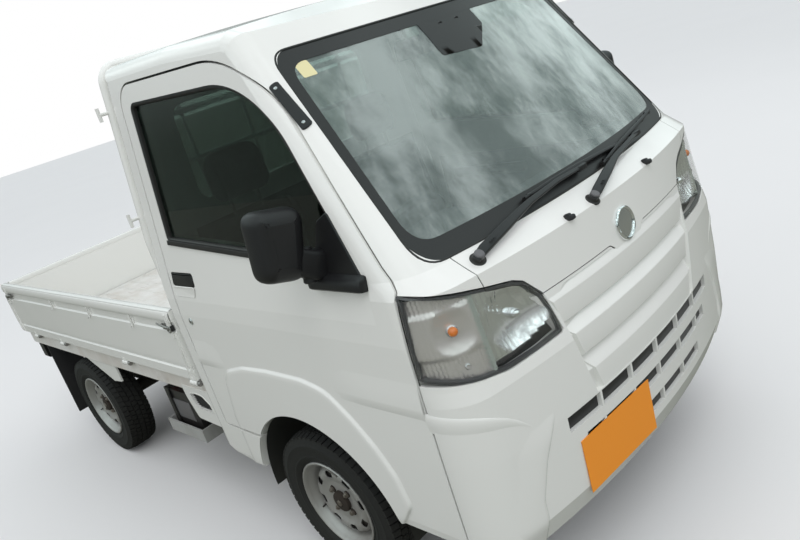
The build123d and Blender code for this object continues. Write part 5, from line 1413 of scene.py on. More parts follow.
@dataclass
class Wipers:
    """Both wipers: cap on the spindle, sprung arm, and a blade with its frame."""

    shop: Workshop
    # Each row: Y and Z of the arm's path from the spindle to its tip.
    arms: tuple[tuple[Row, ...], ...] = (
        ((-521, 1071), (-500, 1075), (-400, 1094), (-290, 1113), (-160, 1122), (-40, 1121)),
        ((-95, 1058), (-72, 1062), (20, 1077), (110, 1092), (240, 1108), (300, 1112)),
    )
    # Each row: Y and Z of the blade's path.
    blades: tuple[tuple[Row, ...], ...] = (
        ((-282, 1127), (-160, 1130), (-40, 1129), (90, 1124), (215, 1117)),
        ((62, 1102), (180, 1116), (300, 1124), (420, 1130), (520, 1134)),
    )
    # Heights of the arm over the skin along its path, and its widths.
    rises: Row = (15, 19, 27, 26, 27, 25)
    widths: Row = (1.0, 1.15, 1.1, 0.75, 0.55, 0.5)

    def build(self) -> None:
        """Makes both wipers."""
        shape = Shape()
        for arm, blade in zip(self.arms, self.blades):
            self._arm(shape, arm)
            self._blade(shape, blade, arm[-1])
        self.shop.place("wiper_set", shape, (SMOOTH_BLACK, RUBBER_TRIM, GREY_TRIM), "truck", Slot.BLACK, ("wipers",))

    def _arm(self, shape: Shape, arm: Sequence[Row]) -> None:
        """Adds a spindle with its boot and cap, and the arm."""
        foot = CAB.front(*arm[0])
        normal = CAB.front(*arm[0], 1) - foot
        shape.lathe(((0, -3), (21, -3), (21, 0.5), (17, 3), (13, 12), (0, 12)), foot, normal, 28, 1)
        section = rounded_loop(((-13, -5, 3), (13, -5, 3), (11, 5, 4), (-11, 5, 4)), steps=3)
        path = [CAB.front(y, z, rise) for (y, z), rise in zip(arm, self.rises)]
        tail = path[0] + (path[0] - path[1]).normalized() * 16
        up = normal.normalized()
        shape.tube([tail, *path], section, up, sizes=(0.9, *self.widths))
        shape.lathe(((0, 8), (10, 8), (13, 6), (14, -4)), path[0], normal, 24, 2)
        lie = (path[2] - path[1]).to_track_quat("X", "Z").to_matrix().to_4x4()
        for share in (0.22, 0.30, 0.38):
            shape.block(path[1].lerp(path[2], share) + up * 5.5, (2, 24, 2), 0.8, lie)

    def _blade(self, shape: Shape, blade: Sequence[Row], tip: Row) -> None:
        """Adds a rubber strip, its frame and the clip that joins it to the arm."""
        low = [CAB.front(y, z, 6.5) for y, z in blade]
        high = [CAB.front(y, z, 15 + 3 * math.sin(math.pi * k / (len(blade) - 1))) for k, (y, z) in enumerate(blade)]
        up = CAB.front(*blade[2], 1) - CAB.front(*blade[2])
        shape.tube(low, ((-1, -6), (1, -6), (2.5, -1), (4, 1), (4, 4), (-4, 4), (-4, 1), (-2.5, -1)), up, mark=1)
        bar = rounded_loop(((-6.5, -3.5, 2), (6.5, -3.5, 2), (4.5, 4, 2.5), (-4.5, 4, 2.5)), steps=3)
        shape.tube(high, bar, up, sizes=(0.6, 0.95, 1.15, 0.95, 0.6))
        for number in (0, 1, 3, 4):
            clip = low[number].lerp(low[2], 0.12) + up.normalized() * 5
            shape.block(clip, (14, 24, 9), 2.0, Matrix.Rotation(-0.1, 4, "X"))
        shape.block(CAB.front(*tip, 19), (20, 44, 16), 4.0)


@dataclass
class Badge:
    """The plain round badge on the cover: a bright ring round a blank satin disc."""

    shop: Workshop
    height: float = 952.0
    # Ring and disc. Each row: radius, distance out.
    ring_rows: tuple[Row, ...] = (
        (49, -1), (49, 3.5), (47.5, 6.5), (44.5, 8), (41.5, 7), (40, 4.5), (39.5, 3),
    )
    disc_rows: tuple[Row, ...] = ((39.6, 3), (30, 4.2), (16, 5.2), (0, 5.6))

    def build(self) -> None:
        """Makes the badge."""
        origin = CAB.front(0, self.height)
        normal = CAB.front(0, self.height, 1) - origin
        shape = Shape().lathe(self.ring_rows, origin, normal, 64, 0).lathe(self.disc_rows, origin, normal, 64, 1)
        self.shop.place("badge", shape, (CHROME, SATIN_CHROME), "truck", Slot.STEEL, closed=False)


@dataclass
class CameraPod:
    """Driving camera housing behind the screen's top edge, and the inner mirror."""

    shop: Workshop
    height: float = 1592.0
    gap: float = 12.0
    lean: float = -0.63
    # Middle of the mirror's stem and of its glass: X, Z.
    stem: Row = (1122.0, 1566.0)
    mirror: Row = (1104.0, 1548.0)

    def build(self) -> None:
        """Makes the housing with two lens tunnels, its shade and the mirror."""
        shape = Shape()
        lean = Matrix.Rotation(self.lean, 4, "Y")
        front = CAB.front(0, self.height, -self.gap)
        shape.block(front + Vector((-22, 0, -2)), (36, 172, 74), 9.0, lean)
        shape.block(front + Vector((-3, 0, -1)), (7, 152, 62), 3.0, lean, 2)
        for side in (-1, 1):
            spot = front + Vector((-1, side * 38, 1))
            shape.block(spot, (9, 58, 40), 4.0, lean, 1)
            shape.lathe(((0, 3), (8, 3.4), (11, 6.5), (13, 6.5), (14, 0)), spot, (0.85, 0, -0.1), 24, 0)
        shape.block((self.stem[0], 0, self.stem[1]), (16, 22, 40), 5.0)
        glass = rounded_loop(((-118, -29, 16), (118, -29, 16), (120, 29, 20), (-120, 29, 20)), steps=5)
        shape.slab(glass, self._inner, ((16, -14), (6, -10), (0, -2), (0, 1), (2, 2.5)), 0)
        shape.slab(inset_loop(glass, 3), self._inner, ((0, 2.4), (0, 2.9)), 3)
        self.shop.place("camera_housing", shape, (SOFT_BLACK, SMOOTH_BLACK, GREY_TRIM, MIRROR_GLASS), "truck",
                        Slot.BLACK, ("camera_pod",))

    def _inner(self, u: float, v: float, out: float) -> Vector:
        """A place on the inner mirror from its across, up and out."""
        return Vector((self.mirror[0] - out + v * 0.12, u, self.mirror[1] + v))


@dataclass
class DoorTrim:
    """What the doors wear outside: window seals, handles, locks and the strips on the pillars before them."""

    shop: Workshop
    # Window edge. Each row: X, Z, corner radius, anticlockwise.
    window: tuple[Row, ...] = (
        (444, 1190, 18), (1150, 1139, 20), (1186, 1073, 6), (1404, 1073, 8), (1115, 1611, 360), (438, 1633, 30),
    )
    # Section of the window's rubber. Each row: inset, distance out.
    rubber: tuple[Row, ...] = ((-0.5, -13.6), (-0.5, -2), (1.5, -0.6), (7, -1.2), (11, -5), (12.5, -13.6))
    # Section of the belt moulding. Each row: across, up, corner radius.
    belt: tuple[Row, ...] = ((-5, -8, 2), (4, -8, 3), (5, 5, 3), (-5, 9, 2))
    # The handle's flap, and the dish under it. Each row: X, Z, corner radius. The lock: X, Z.
    handle: tuple[Row, ...] = ((403, 1036, 12), (535, 1036, 12), (547, 1050, 12), (547, 1084, 6), (403, 1084, 6))
    dish: tuple[Row, ...] = ((400, 1000, 14), (532, 1000, 14), (545, 1038, 8), (400, 1038, 8))
    lock: Row = (439.0, 908.0)
    # Section of the lock. Each row: radius, distance out.
    lock_rows: tuple[Row, ...] = ((13, -1), (13, 0.6), (12, 1.4), (10.5, 1.6), (9.5, 0.8), (8, 2.6), (0, 2.8))
    # Strip on the front pillar: X and Z of its two ends, and half its width.
    strip: tuple[Row, Row] = ((1253.0, 1458.0), (1166.0, 1575.0))
    strip_half: float = 7.5

    def build(self) -> None:
        """Makes the trim of both doors."""
        self._seals()
        self._handles()
        self._strips()

    def _seals(self) -> None:
        """Makes the rubber round the glass and the belt moulding under it."""
        loop = rounded_loop(self.window, steps=8, pitch=30.0)
        shape = Shape()
        shape.grid([[CAB.flank(x, z, out) for x, z in inset_loop(loop, inset)] for inset, out in self.rubber],
                   closed=True)
        path = [CAB.flank(x, 1190 - (x - 444) * 0.0722 - 3, 0.5) for x in span(450, 1150, 9)]
        shape.tube(path, rounded_loop(self.belt, steps=3), (0, -0.13, 1))
        self.shop.pair("window_seal", shape, RUBBER_TRIM, "door_", Slot.BLACK, closed=False)

    def _handles(self) -> None:
        """Makes each pull handle in its recess and the lock beneath it."""
        shape = Shape()
        loop = rounded_loop(self.handle, steps=5, pitch=20.0)
        shape.slab(inset_loop(loop, 1), CAB.flank, ((0, -13.5), (0, -12)), 1)
        shape.slab(inset_loop(loop, 1.2), CAB.flank, ((3, -16), (0, -13), (0, -4.5), (2, -2.2), (7, -1.4)), 0)
        dish = rounded_loop(self.dish, steps=5, pitch=12.0)
        shape.slab(dish, CAB.flank, ((0, -0.8), (1.5, 0.7), (4, 0.3), (9, -0.6)), 1)
        spot = CAB.flank(*self.lock)
        normal = CAB.flank(*self.lock, 1) - spot
        shape.lathe(self.lock_rows, spot, normal, 32, 2)
        shape.block(spot + normal * 2.9, (1.8, 1.0, 8), 0.3, None, 0)
        self.shop.pair("door_handle", shape, (SMOOTH_BLACK, BODY_PAINT, SATIN_CHROME), "door_", Slot.BLACK)

    def _strips(self) -> None:
        """Makes the black strip on each front pillar, with a screw near each end."""
        (x0, z0), (x1, z1) = self.strip
        shape, reach = Shape(), Vector((x1 - x0, z1 - z0)).length
        ahead = Vector((x1 - x0, z1 - z0)).normalized()

        def at(u: float, v: float, out: float) -> Vector:
            """A place on the strip."""
            return CAB.flank(x0 + ahead.x * u - ahead.y * v, z0 + ahead.y * u + ahead.x * v, out)

        loop = box_loop((0, -self.strip_half), (reach, self.strip_half), 7, steps=6, pitch=12.0)
        shape.slab(loop, at, ((0, -1), (0, 3), (1.5, 4.2), (4, 4.6)), 0)
        for along in (16, reach - 16):
            shape.lathe(((4.6, 0), (4.6, 1.6), (3.4, 2.6), (0, 2.8)), at(along, 0, 4.2),
                        at(along, 0, 5) - at(along, 0, 4), 20, 1)
        self.shop.pair("pillar_strip", shape, (SMOOTH_BLACK, SATIN_CHROME), "truck", Slot.BLACK)


@dataclass
class Gates:
    """What the drop gates wear: rolled top rails, rope hooks, hinge barrels, latches and end folds."""

    shop: Workshop
    # Outer face and lower edge of the side gates, their two ends, and half the width of the rear one.
    half: float = 737.0
    low: float = 648.0
    front: float = 288.0
    tail: float = -1697.5
    rear_half: float = 700.0
    # X of the side gates' hinges and hooks, and Y of the rear gate's hinges, hooks and locks.
    hinges: Row = (254.0, -347.0, -1100.0, -1492.0)
    hooks: Row = (-971.0, -511.0, -73.0)
    rear_hinges: Row = (-480.0, 0.0, 480.0)
    rear_hooks: Row = (-520.0, 0.0, 520.0)
    rear_lock: float = 676.0
    # The hinge line: distance behind the gate's face and below its lower edge.
    pin: Row = (7.0, 14.0)
    # Barrels on the gate and on the bed. Each row: radius, distance along the pin.
    moving: tuple[Row, ...] = ((0, -22), (11.5, -22), (12.5, -20.5), (12.5, 1), (11.5, 2), (0, 2))
    fixed: tuple[Row, ...] = ((0, 4), (12.5, 4), (12.5, 27), (11.5, 28), (0, 28))
    pin_end: tuple[Row, ...] = ((0, 29), (9.5, 29), (10.5, 31), (10.5, 40), (8, 43), (0, 43))
    # Rolled rail. Each row: distance out of the gate's face, height over its lower edge.
    rail: tuple[Row, ...] = (
        (-3, 241), (1.5, 242.5), (4.2, 247), (5.2, 256), (5, 268), (3, 277), (-1.5, 283.5), (-9, 287), (-18, 287.5),
        (-26, 286), (-31.5, 281), (-32.5, 274), (-31, 262), (-27, 256),
    )
    # Rope hook, in the same measures, and its section.
    hook: tuple[Row, ...] = ((2, 246), (3, 236), (2.5, 218), (2.5, 206), (5, 196), (9, 191), (10, 197))
    strap: tuple[Row, ...] = ((-5, -1.6), (5, -1.6), (5, 1.6), (-5, 1.6))

    def build(self) -> None:
        """Makes the pieces of all three gates."""
        self._sides()
        self._rear()

    def _sides(self) -> None:
        """Makes a side gate's rail, hooks, folds, latches and moving barrels, and the fixed barrels."""
        shape, fixed = Shape(), Shape()

        def section(x: float, rows: Sequence[Row]) -> list[Row]:
            """Places at one X on the gate from rows of distance out and height."""
            return [(x, self.half + out, self.low + up) for out, up in rows]

        ends = (self.tail + 1, self.tail + 3, -700, self.front - 3, self.front - 1)
        shape.grid([section(x, self.rail) for x in ends])
        for x in self.hooks:
            shape.tube(section(x, self.hook), self.strap, (0, 1, 0.3))
        for x, way in ((self.front - 4, -1), (self.tail + 4, 1)):
            shape.tube(section(x, ((-1, 4), (2, 60), (3, 198))), ((-2, -4), (2, -4), (2.5, 3), (-2.5, 3)), (0, 1, 0))
            slope = [*section(x + way * 40, ((0.6, 4),)), *section(x + way * 8, ((1.4, 190),))]
            shape.tube(slope, ((-3, -1.5), (3, -1.5), (1.5, 1.6), (-1.5, 1.6)), (0, 1, 0))
        for x in self.hinges:
            pin = (x, self.half - self.pin[0], self.low - self.pin[1])
            shape.lathe(self.moving, pin, (1, 0, 0), 28)
            shape.block((x - 10, self.half - 3, self.low + 2), (40, 5, 26), 1.5)
            fixed.lathe(self.fixed, pin, (1, 0, 0), 28)
            fixed.lathe(self.pin_end, pin, (1, 0, 0), 24, 1)
            fixed.block((x + 14, self.half - 16, self.low - 20), (26, 16, 22), 2.0)
        self._latch(shape, self.front - 30, -1)
        self._latch(shape, self.tail + 46, 1)
        self.shop.pair("gate_fittings", shape, (BODY_PAINT, DULL_STEEL, SMOOTH_BLACK), "side_gate_", Slot.BODY,
                       closed=False)
        self.shop.pair("gate_hinge", fixed, (BODY_PAINT, DULL_STEEL), "truck", Slot.BODY)

    def _latch(self, shape: Shape, x: float, way: int) -> None:
        """Adds a gate latch: plate, lever with its eye, and a spring loop."""
        out, up = self.half + 2, self.low + 222
        shape.block((x + way * 26, out, up), (56, 4, 26), 1.5, None, 1)
        shape.lathe(((0, 0), (8, 0), (9, 1.5), (9, 9), (7, 11), (0, 11)), (x, out, up - 2), (0, 1, 0), 20, 1)
        lever = [(x + way * along, out + proud, up + rise)
                 for along, proud, rise in ((0, 7, 0), (26, 9, 5), (60, 8, 8), (84, 6, 10))]
        shape.tube(lever, ring(4.2, 10), (0, 1, 0), mark=1, sizes=(1.1, 1.0, 0.9, 0.8))
        loop = [(x - way * (4 + 13 * math.cos(a)), out + 7, up - 6 + 12 * math.sin(a))
                for a in span(0, 2 * math.pi * 11 / 12, 12)]
        shape.tube(loop, ring(2.6, 8), (0, 1, 0), closed=True, mark=1)
        shape.block((x - way * 18, out - 1, up - 4), (10, 12, 22), 2.0, None, 2)

    def _rear(self) -> None:
        """Makes the rear gate's rail, hinge barrels, hooks and lock plates, and the fixed barrels."""
        shape, fixed, face = Shape(), Shape(), self.tail

        def section(y: float, rows: Sequence[Row]) -> list[Row]:
            """Places at one Y on the gate from rows of distance out and height."""
            return [(face - out, y, self.low + up) for out, up in rows]

        shape.grid([section(y, self.rail) for y in (-self.rear_half + 1, 0, self.rear_half - 1)])
        for y in self.rear_hinges:
            pin = (face + self.pin[0], y, self.low - self.pin[1])
            shape.lathe(self.moving, pin, (0, 1, 0), 28)
            fixed.lathe(self.fixed, pin, (0, 1, 0), 28)
        for y in self.rear_hooks:
            shape.tube(section(y, self.hook), self.strap, (1, 0, 0.3))
        for side in (-1, 1):
            y = side * self.rear_lock
            shape.block((face - 2, y, self.low + 150), (4, 30, 60), 1.5, None, 1)
            shape.lathe(((0, 0), (7, 0), (8, 2), (8, 9), (0, 10)), (face - 2, y, self.low + 160), (-1, 0, 0), 20, 1)
        self.shop.place("gate_fittings_rear", shape, (BODY_PAINT, DULL_STEEL), "rear_gate", Slot.BODY, closed=False)
        self.shop.place("gate_hinge_rear", fixed, BODY_PAINT, "truck", Slot.BODY)


@dataclass
class FrontPanel:
    """The stepped panel between the cover and the intake slots, with sloped ends."""

    shop: Workshop
    nose: float = 1697.5
    arc: float = 2800.0
    # Section from the top down, then back up. Each row: height, distance behind the nose, edge radius.
    section: tuple[Row, ...] = (
        (923, -34, 0), (892, -18, 7), (824, -18, 4), (820, -34, 3), (784, -7, 7), (714, -7, 4), (710, -24, 3),
        (665, -1, 7), (594, -1, 0), (594, -33, 0), (923, -55, 0),
    )
    # Half width at two heights, 90 mm behind the nose and 10 mm ahead of it.
    low: Row = (593.0, 336.0, 261.0)
    high: Row = (1000.0, 441.0, 366.0)

    def build(self) -> None:
        """Makes the panel."""
        loop = rounded_loop([(-z, back, radius) for z, back, radius in self.section], steps=3, pitch=40.0)
        loop = [(-u, back) for u, back in loop]
        shape = Shape()
        shape.grid([[self._at(share, z, back) for z, back in loop] for share in span(-1, 1, 25)], closed=True)
        points, faces = triangles([loop], 60.0)
        for share in (-1, 1):
            shape.add([self._at(share, z, back) for z, back in points], faces)
        self.shop.place("front_panel", shape, BODY_PAINT, "truck", Slot.BODY)

    def _at(self, share: float, z: float, back: float) -> Vector:
        """A place on the panel from its share of the half width, its height and its distance behind the nose."""
        x = self.nose + back
        for _ in range(4):
            rise = (z - self.low[0]) / (self.high[0] - self.low[0])
            ahead = (x - self.nose + 90) / 100
            half = sum(
                (low + (high - low) * rise) * part
                for low, high, part in zip(self.low[1:], self.high[1:], (1 - ahead, ahead))
            )
            turn = math.asin(share * half / (self.arc + back))
            x = self.nose - self.arc + (self.arc + back) * math.cos(turn)
        return Vector((x, share * half, z))


@dataclass
class Flares:
    """Wheel flares on the doors and sills, and the side's crease before and behind them."""

    shop: Workshop
    axle: Row = (888.0, 267.0)
    arch: float = 353.0
    proud: float = 8.0
    slope: float = 15.0
    # Heights where the door's flare and the sill's end on the arch.
    door_foot: float = 338.0
    sill_foot: float = 347.0
    sill_gap: Row = (481.0, 494.0)
    sill_x: float = 474.0
    # Upper edge on the door. Each row: X, Z, corner radius.
    edge: tuple[Row, ...] = (
        (474, 494, 0), (474, 540, 40), (512, 690, 60), (548, 738, 60), (660, 768, 200), (800, 779, 300),
        (985, 780, 200), (1092, 760, 150), (1174, 686, 200), (1243, 604, 200), (1290, 518, 120), (1310, 420, 40),
        (1252, 338, 0),
    )
    # Crease on the bumper: its section as share of its width and distance out, and Y and Z of its tip.
    leaf: tuple[Row, ...] = ((0.0, -0.6), (0.08, 1.4), (0.2, 2.6), (0.4, 3.0), (0.7, 1.6), (1.0, -0.6))
    leaf_tip: Row = (536.0, 616.0)
    # X and Z where it starts, beside the door's crease. Its upper and its lower edge: height at the start, height
    # where a straight run would end, and the power with which the edge closes on the tip.
    leaf_root: Row = (1476.0, 745.0)
    leaf_edges: tuple[Row, Row] = ((757.0, 745.0, 3.0), (700.0, 696.0, 3.2))
    # Crease on the door: its section as height and distance out, and the share of that at rows of X.
    crease: tuple[Row, ...] = ((731, -0.6), (740, 1.6), (757, 4.2), (764, 4.4), (800, 2.2), (845, -0.6))
    stretches: tuple[tuple[Row, ...], ...] = (
        ((1120, 0.0), (1180, 0.5), (1240, 1.0), (1300, 1.0), (1380, 1.0), (1440, 1.0), (1478, 1.0)),
        ((388, 1.0), (420, 1.0), (450, 1.0), (480, 1.0), (520, 0.5), (560, 0.0)),
    )
    # How far under the skin the edges of the creases and of the flares end.
    dip: float = 0.6
    flare_dip: float = 0.2
    # Places across a flare, from its edge to the arch, in widths of its slope; and how far it turns in at the arch.
    steps: Row = (0.0, 0.15, 0.3, 0.45, 0.6, 0.8, 1.0, 2.0, 4.0, 99.0)
    turn_in: float = 14.0

    def build(self) -> None:
        """Makes the flares and creases of both sides."""
        door, sill = Shape(), Shape()
        rim = rounded_loop(self.edge, steps=6, pitch=16.0)
        rim = rim[: rim.index(self.edge[-1][:2]) + 1]
        self._skirt(door, rim, 180 - self._turn(self.sill_gap[1]), self._turn(self.door_foot))
        for stretch in self.stretches:
            door.grid([[CAB.flank(x, z, (out + self.dip) * share - self.dip) for z, out in self.crease]
                       for x, share in stretch])
        self.shop.pair("wheel_flare", door, BODY_PAINT, "door_", Slot.BODY, closed=False)
        self._leaves()
        rim = [(self.sill_x, z) for z in span(self.sill_foot, self.sill_gap[0], 8)]
        self._skirt(sill, rim, 180 - self._turn(self.sill_foot), 180 - self._turn(self.sill_gap[0]))
        self.shop.pair("sill_flare", sill, BODY_PAINT, "truck", Slot.BODY, closed=False)

    def _turn(self, height: float) -> float:
        """Angle of the place on the front half of the arch at a height, in degrees."""
        return math.degrees(math.asin((height - self.axle[1]) / self.arch))

    def _skirt(self, shape: Shape, rim: Sequence[Row], start: float, end: float) -> None:
        """Adds the raised surface between its edge and the wheel arch.

        Args:
            shape: what it is added to.
            rim: points of its edge.
            start: angle on the arch that meets the edge's first point, in degrees.
            end: angle that meets its last point.
        """
        rows = []
        turns = [math.radians(turn) for turn in span(start, end, len(rim))]
        inner = [(self.axle[0] + self.arch * math.cos(turn), self.axle[1] + self.arch * math.sin(turn))
                 for turn in turns]
        for step in self.steps:
            row = []
            for (x, z), (x1, z1) in zip(rim, inner):
                ahead = Vector((x1 - x, z1 - z))
                reach = min(step * self.slope, ahead.length)
                share = min(1.0, reach / self.slope)
                spot = Vector((x, z)) + ahead.normalized() * reach
                row.append(CAB.flank(spot.x, spot.y, self.proud * share * share * (3 - 2 * share) - self.flare_dip))
            rows.append(row)
        rows += [[CAB.flank(x, z, out) for x, z in inner] for out in (self.proud - self.flare_dip, -self.turn_in)]
        shape.grid(rows)
        for end_row in (0, -1):
            line = [row[end_row] for row in rows[:-1]]
            shape.grid([line, [point - Vector((0, self.proud + 2, 0)) for point in line]])

    def _leaves(self) -> None:
        """Makes the pointed crease round each of the bumper's corners, which carries on the door's."""
        start, tip = CAB.side_to(*self.leaf_root), CAB.round_to(*self.leaf_tip)
        rows = []
        for share in span(0, 1, 26):
            bow = math.sin(math.pi / 2 * share)
            top, low = (first - (first - last) * share - (last - self.leaf_tip[1]) * share ** power
                        for first, last, power in self.leaf_edges)
            fade = min(1.0, (1.0 - share) * 2.2)
            along = start + (tip - start) * share
            rows.append([CAB.at(along, top + (low - top) * part,
                                (out + self.dip) * fade - self.dip - 0.5 * bow * (part in (0, 1)))
                         for part, out in self.leaf])
        self.shop.pair("bumper_leaf", Shape().grid(rows), BODY_PAINT, "truck", Slot.BODY, closed=False)


@dataclass
class CornerPanels:
    """White panels under the bed's front corners, each with a vent opening and a dark mesh behind it."""

    shop: Workshop
    face: float = 717.5
    thick: float = 12.0
    # Panel and vent. Each row: X, Z, corner radius.
    outline: tuple[Row, ...] = (
        (88, 530, 0), (123, 442, 22), (279, 434, 0), (345, 446, 0), (345, 588, 0), (80, 588, 4),
    )
    vent: tuple[Row, ...] = (
        (146, 497, 24), (268, 493, 6), (264, 528, 0), (225, 558, 20), (178, 562, 0), (130, 555, 6),
    )
    # Bars behind the vent: X of their ends, distance behind the face, first height, pitch.
    bars: Row = (128.0, 268.0, 9.0, 496.0, 7.5)
    bar_count: int = 9

    def _at(self, x: float, z: float, out: float = 0.0) -> Vector:
        """A place on the panel from its X, height and distance out."""
        return Vector((x, self.face + out, z))

    def build(self) -> None:
        """Makes both panels."""
        shape = Shape()
        loops = [rounded_loop(self.outline, steps=5, pitch=25.0), rounded_loop(self.vent, steps=5, pitch=15.0)]
        vent = loops[1]
        shape.sheet(loops, self._at, 40.0, flip=True)
        shape.sheet(loops, lambda x, z: self._at(x, z, -self.thick), 40.0)
        for loop in loops:
            shape.grid([[self._at(x, z, out) for x, z in loop] for out in (0.0, -self.thick)], closed=True)
        lip = inset_loop(vent, -3.5)
        rows = ((vent, 0.0), (vent, 1.5), (lip, 1.5), (lip, 0.0))
        shape.grid([[self._at(x, z, out) for x, z in loop] for loop, out in rows], closed=True)
        first, last, behind, level, pitch = self.bars
        for number in range(self.bar_count):
            z = level + pitch * number
            shape.tube((self._at(first, z, -behind), self._at(last, z, -behind)), ring(1.3, 6), mark=1)
        shape.slab(inset_loop(vent, -5), self._at, ((0, -16), (0, -14)), 1)
        self.shop.place("corner_panels", shape.mirrored(), (BODY_PAINT, SOFT_BLACK), "truck", Slot.BODY, closed=False)


@dataclass
class Linings:
    """Dark surfaces behind the openings: linings in the wheel arches, and a black sheet close behind the intake slots
    that paints the shade inside them and the dark radiator far behind.
    """

    shop: Workshop
    axle: Row = (888.0, 267.0)
    radius: float = 349.5
    low_turn: float = -4.0
    # Section of an arch lining. Each row: Y, how far it draws in.
    section: tuple[Row, ...] = ((715, 0), (700, 1.5), (660, 2), (600, 2), (540, 3), (500, 5))
    # Intake slots. Each row: low and high edge, half width.
    slots: tuple[Row, ...] = ((546, 593, 446), (471, 513, 386), (387, 427, 291))
    slot_depth: float = 13.0

    def build(self) -> None:
        """Makes every lining."""
        turns = [math.radians(turn) for turn in span(self.low_turn, 180 - self.low_turn, 40)]
        arch = Shape().grid([[(self.axle[0] + (self.radius - shrink) * math.cos(turn), y,
                               self.axle[1] + (self.radius - shrink) * math.sin(turn)) for turn in turns]
                             for y, shrink in self.section])
        self.shop.place("arch_linings", arch.mirrored(), ARCH_LINING, "truck", Slot.BLACK, closed=False)
        # A black sheet just behind the slots: painted shade for the deep openings, standing in for their shade and
        # the dark radiator far behind.
        shade_sheet = Shape()
        for low, high, half in self.slots:
            shade_sheet.grid([[CAB.front(y, z, -self.slot_depth) for y in span(-half, half, 30)] for z in (low, high)])
        self.shop.place("intake_shroud", shade_sheet, SOFT_BLACK, "truck", Slot.BLACK, closed=False)


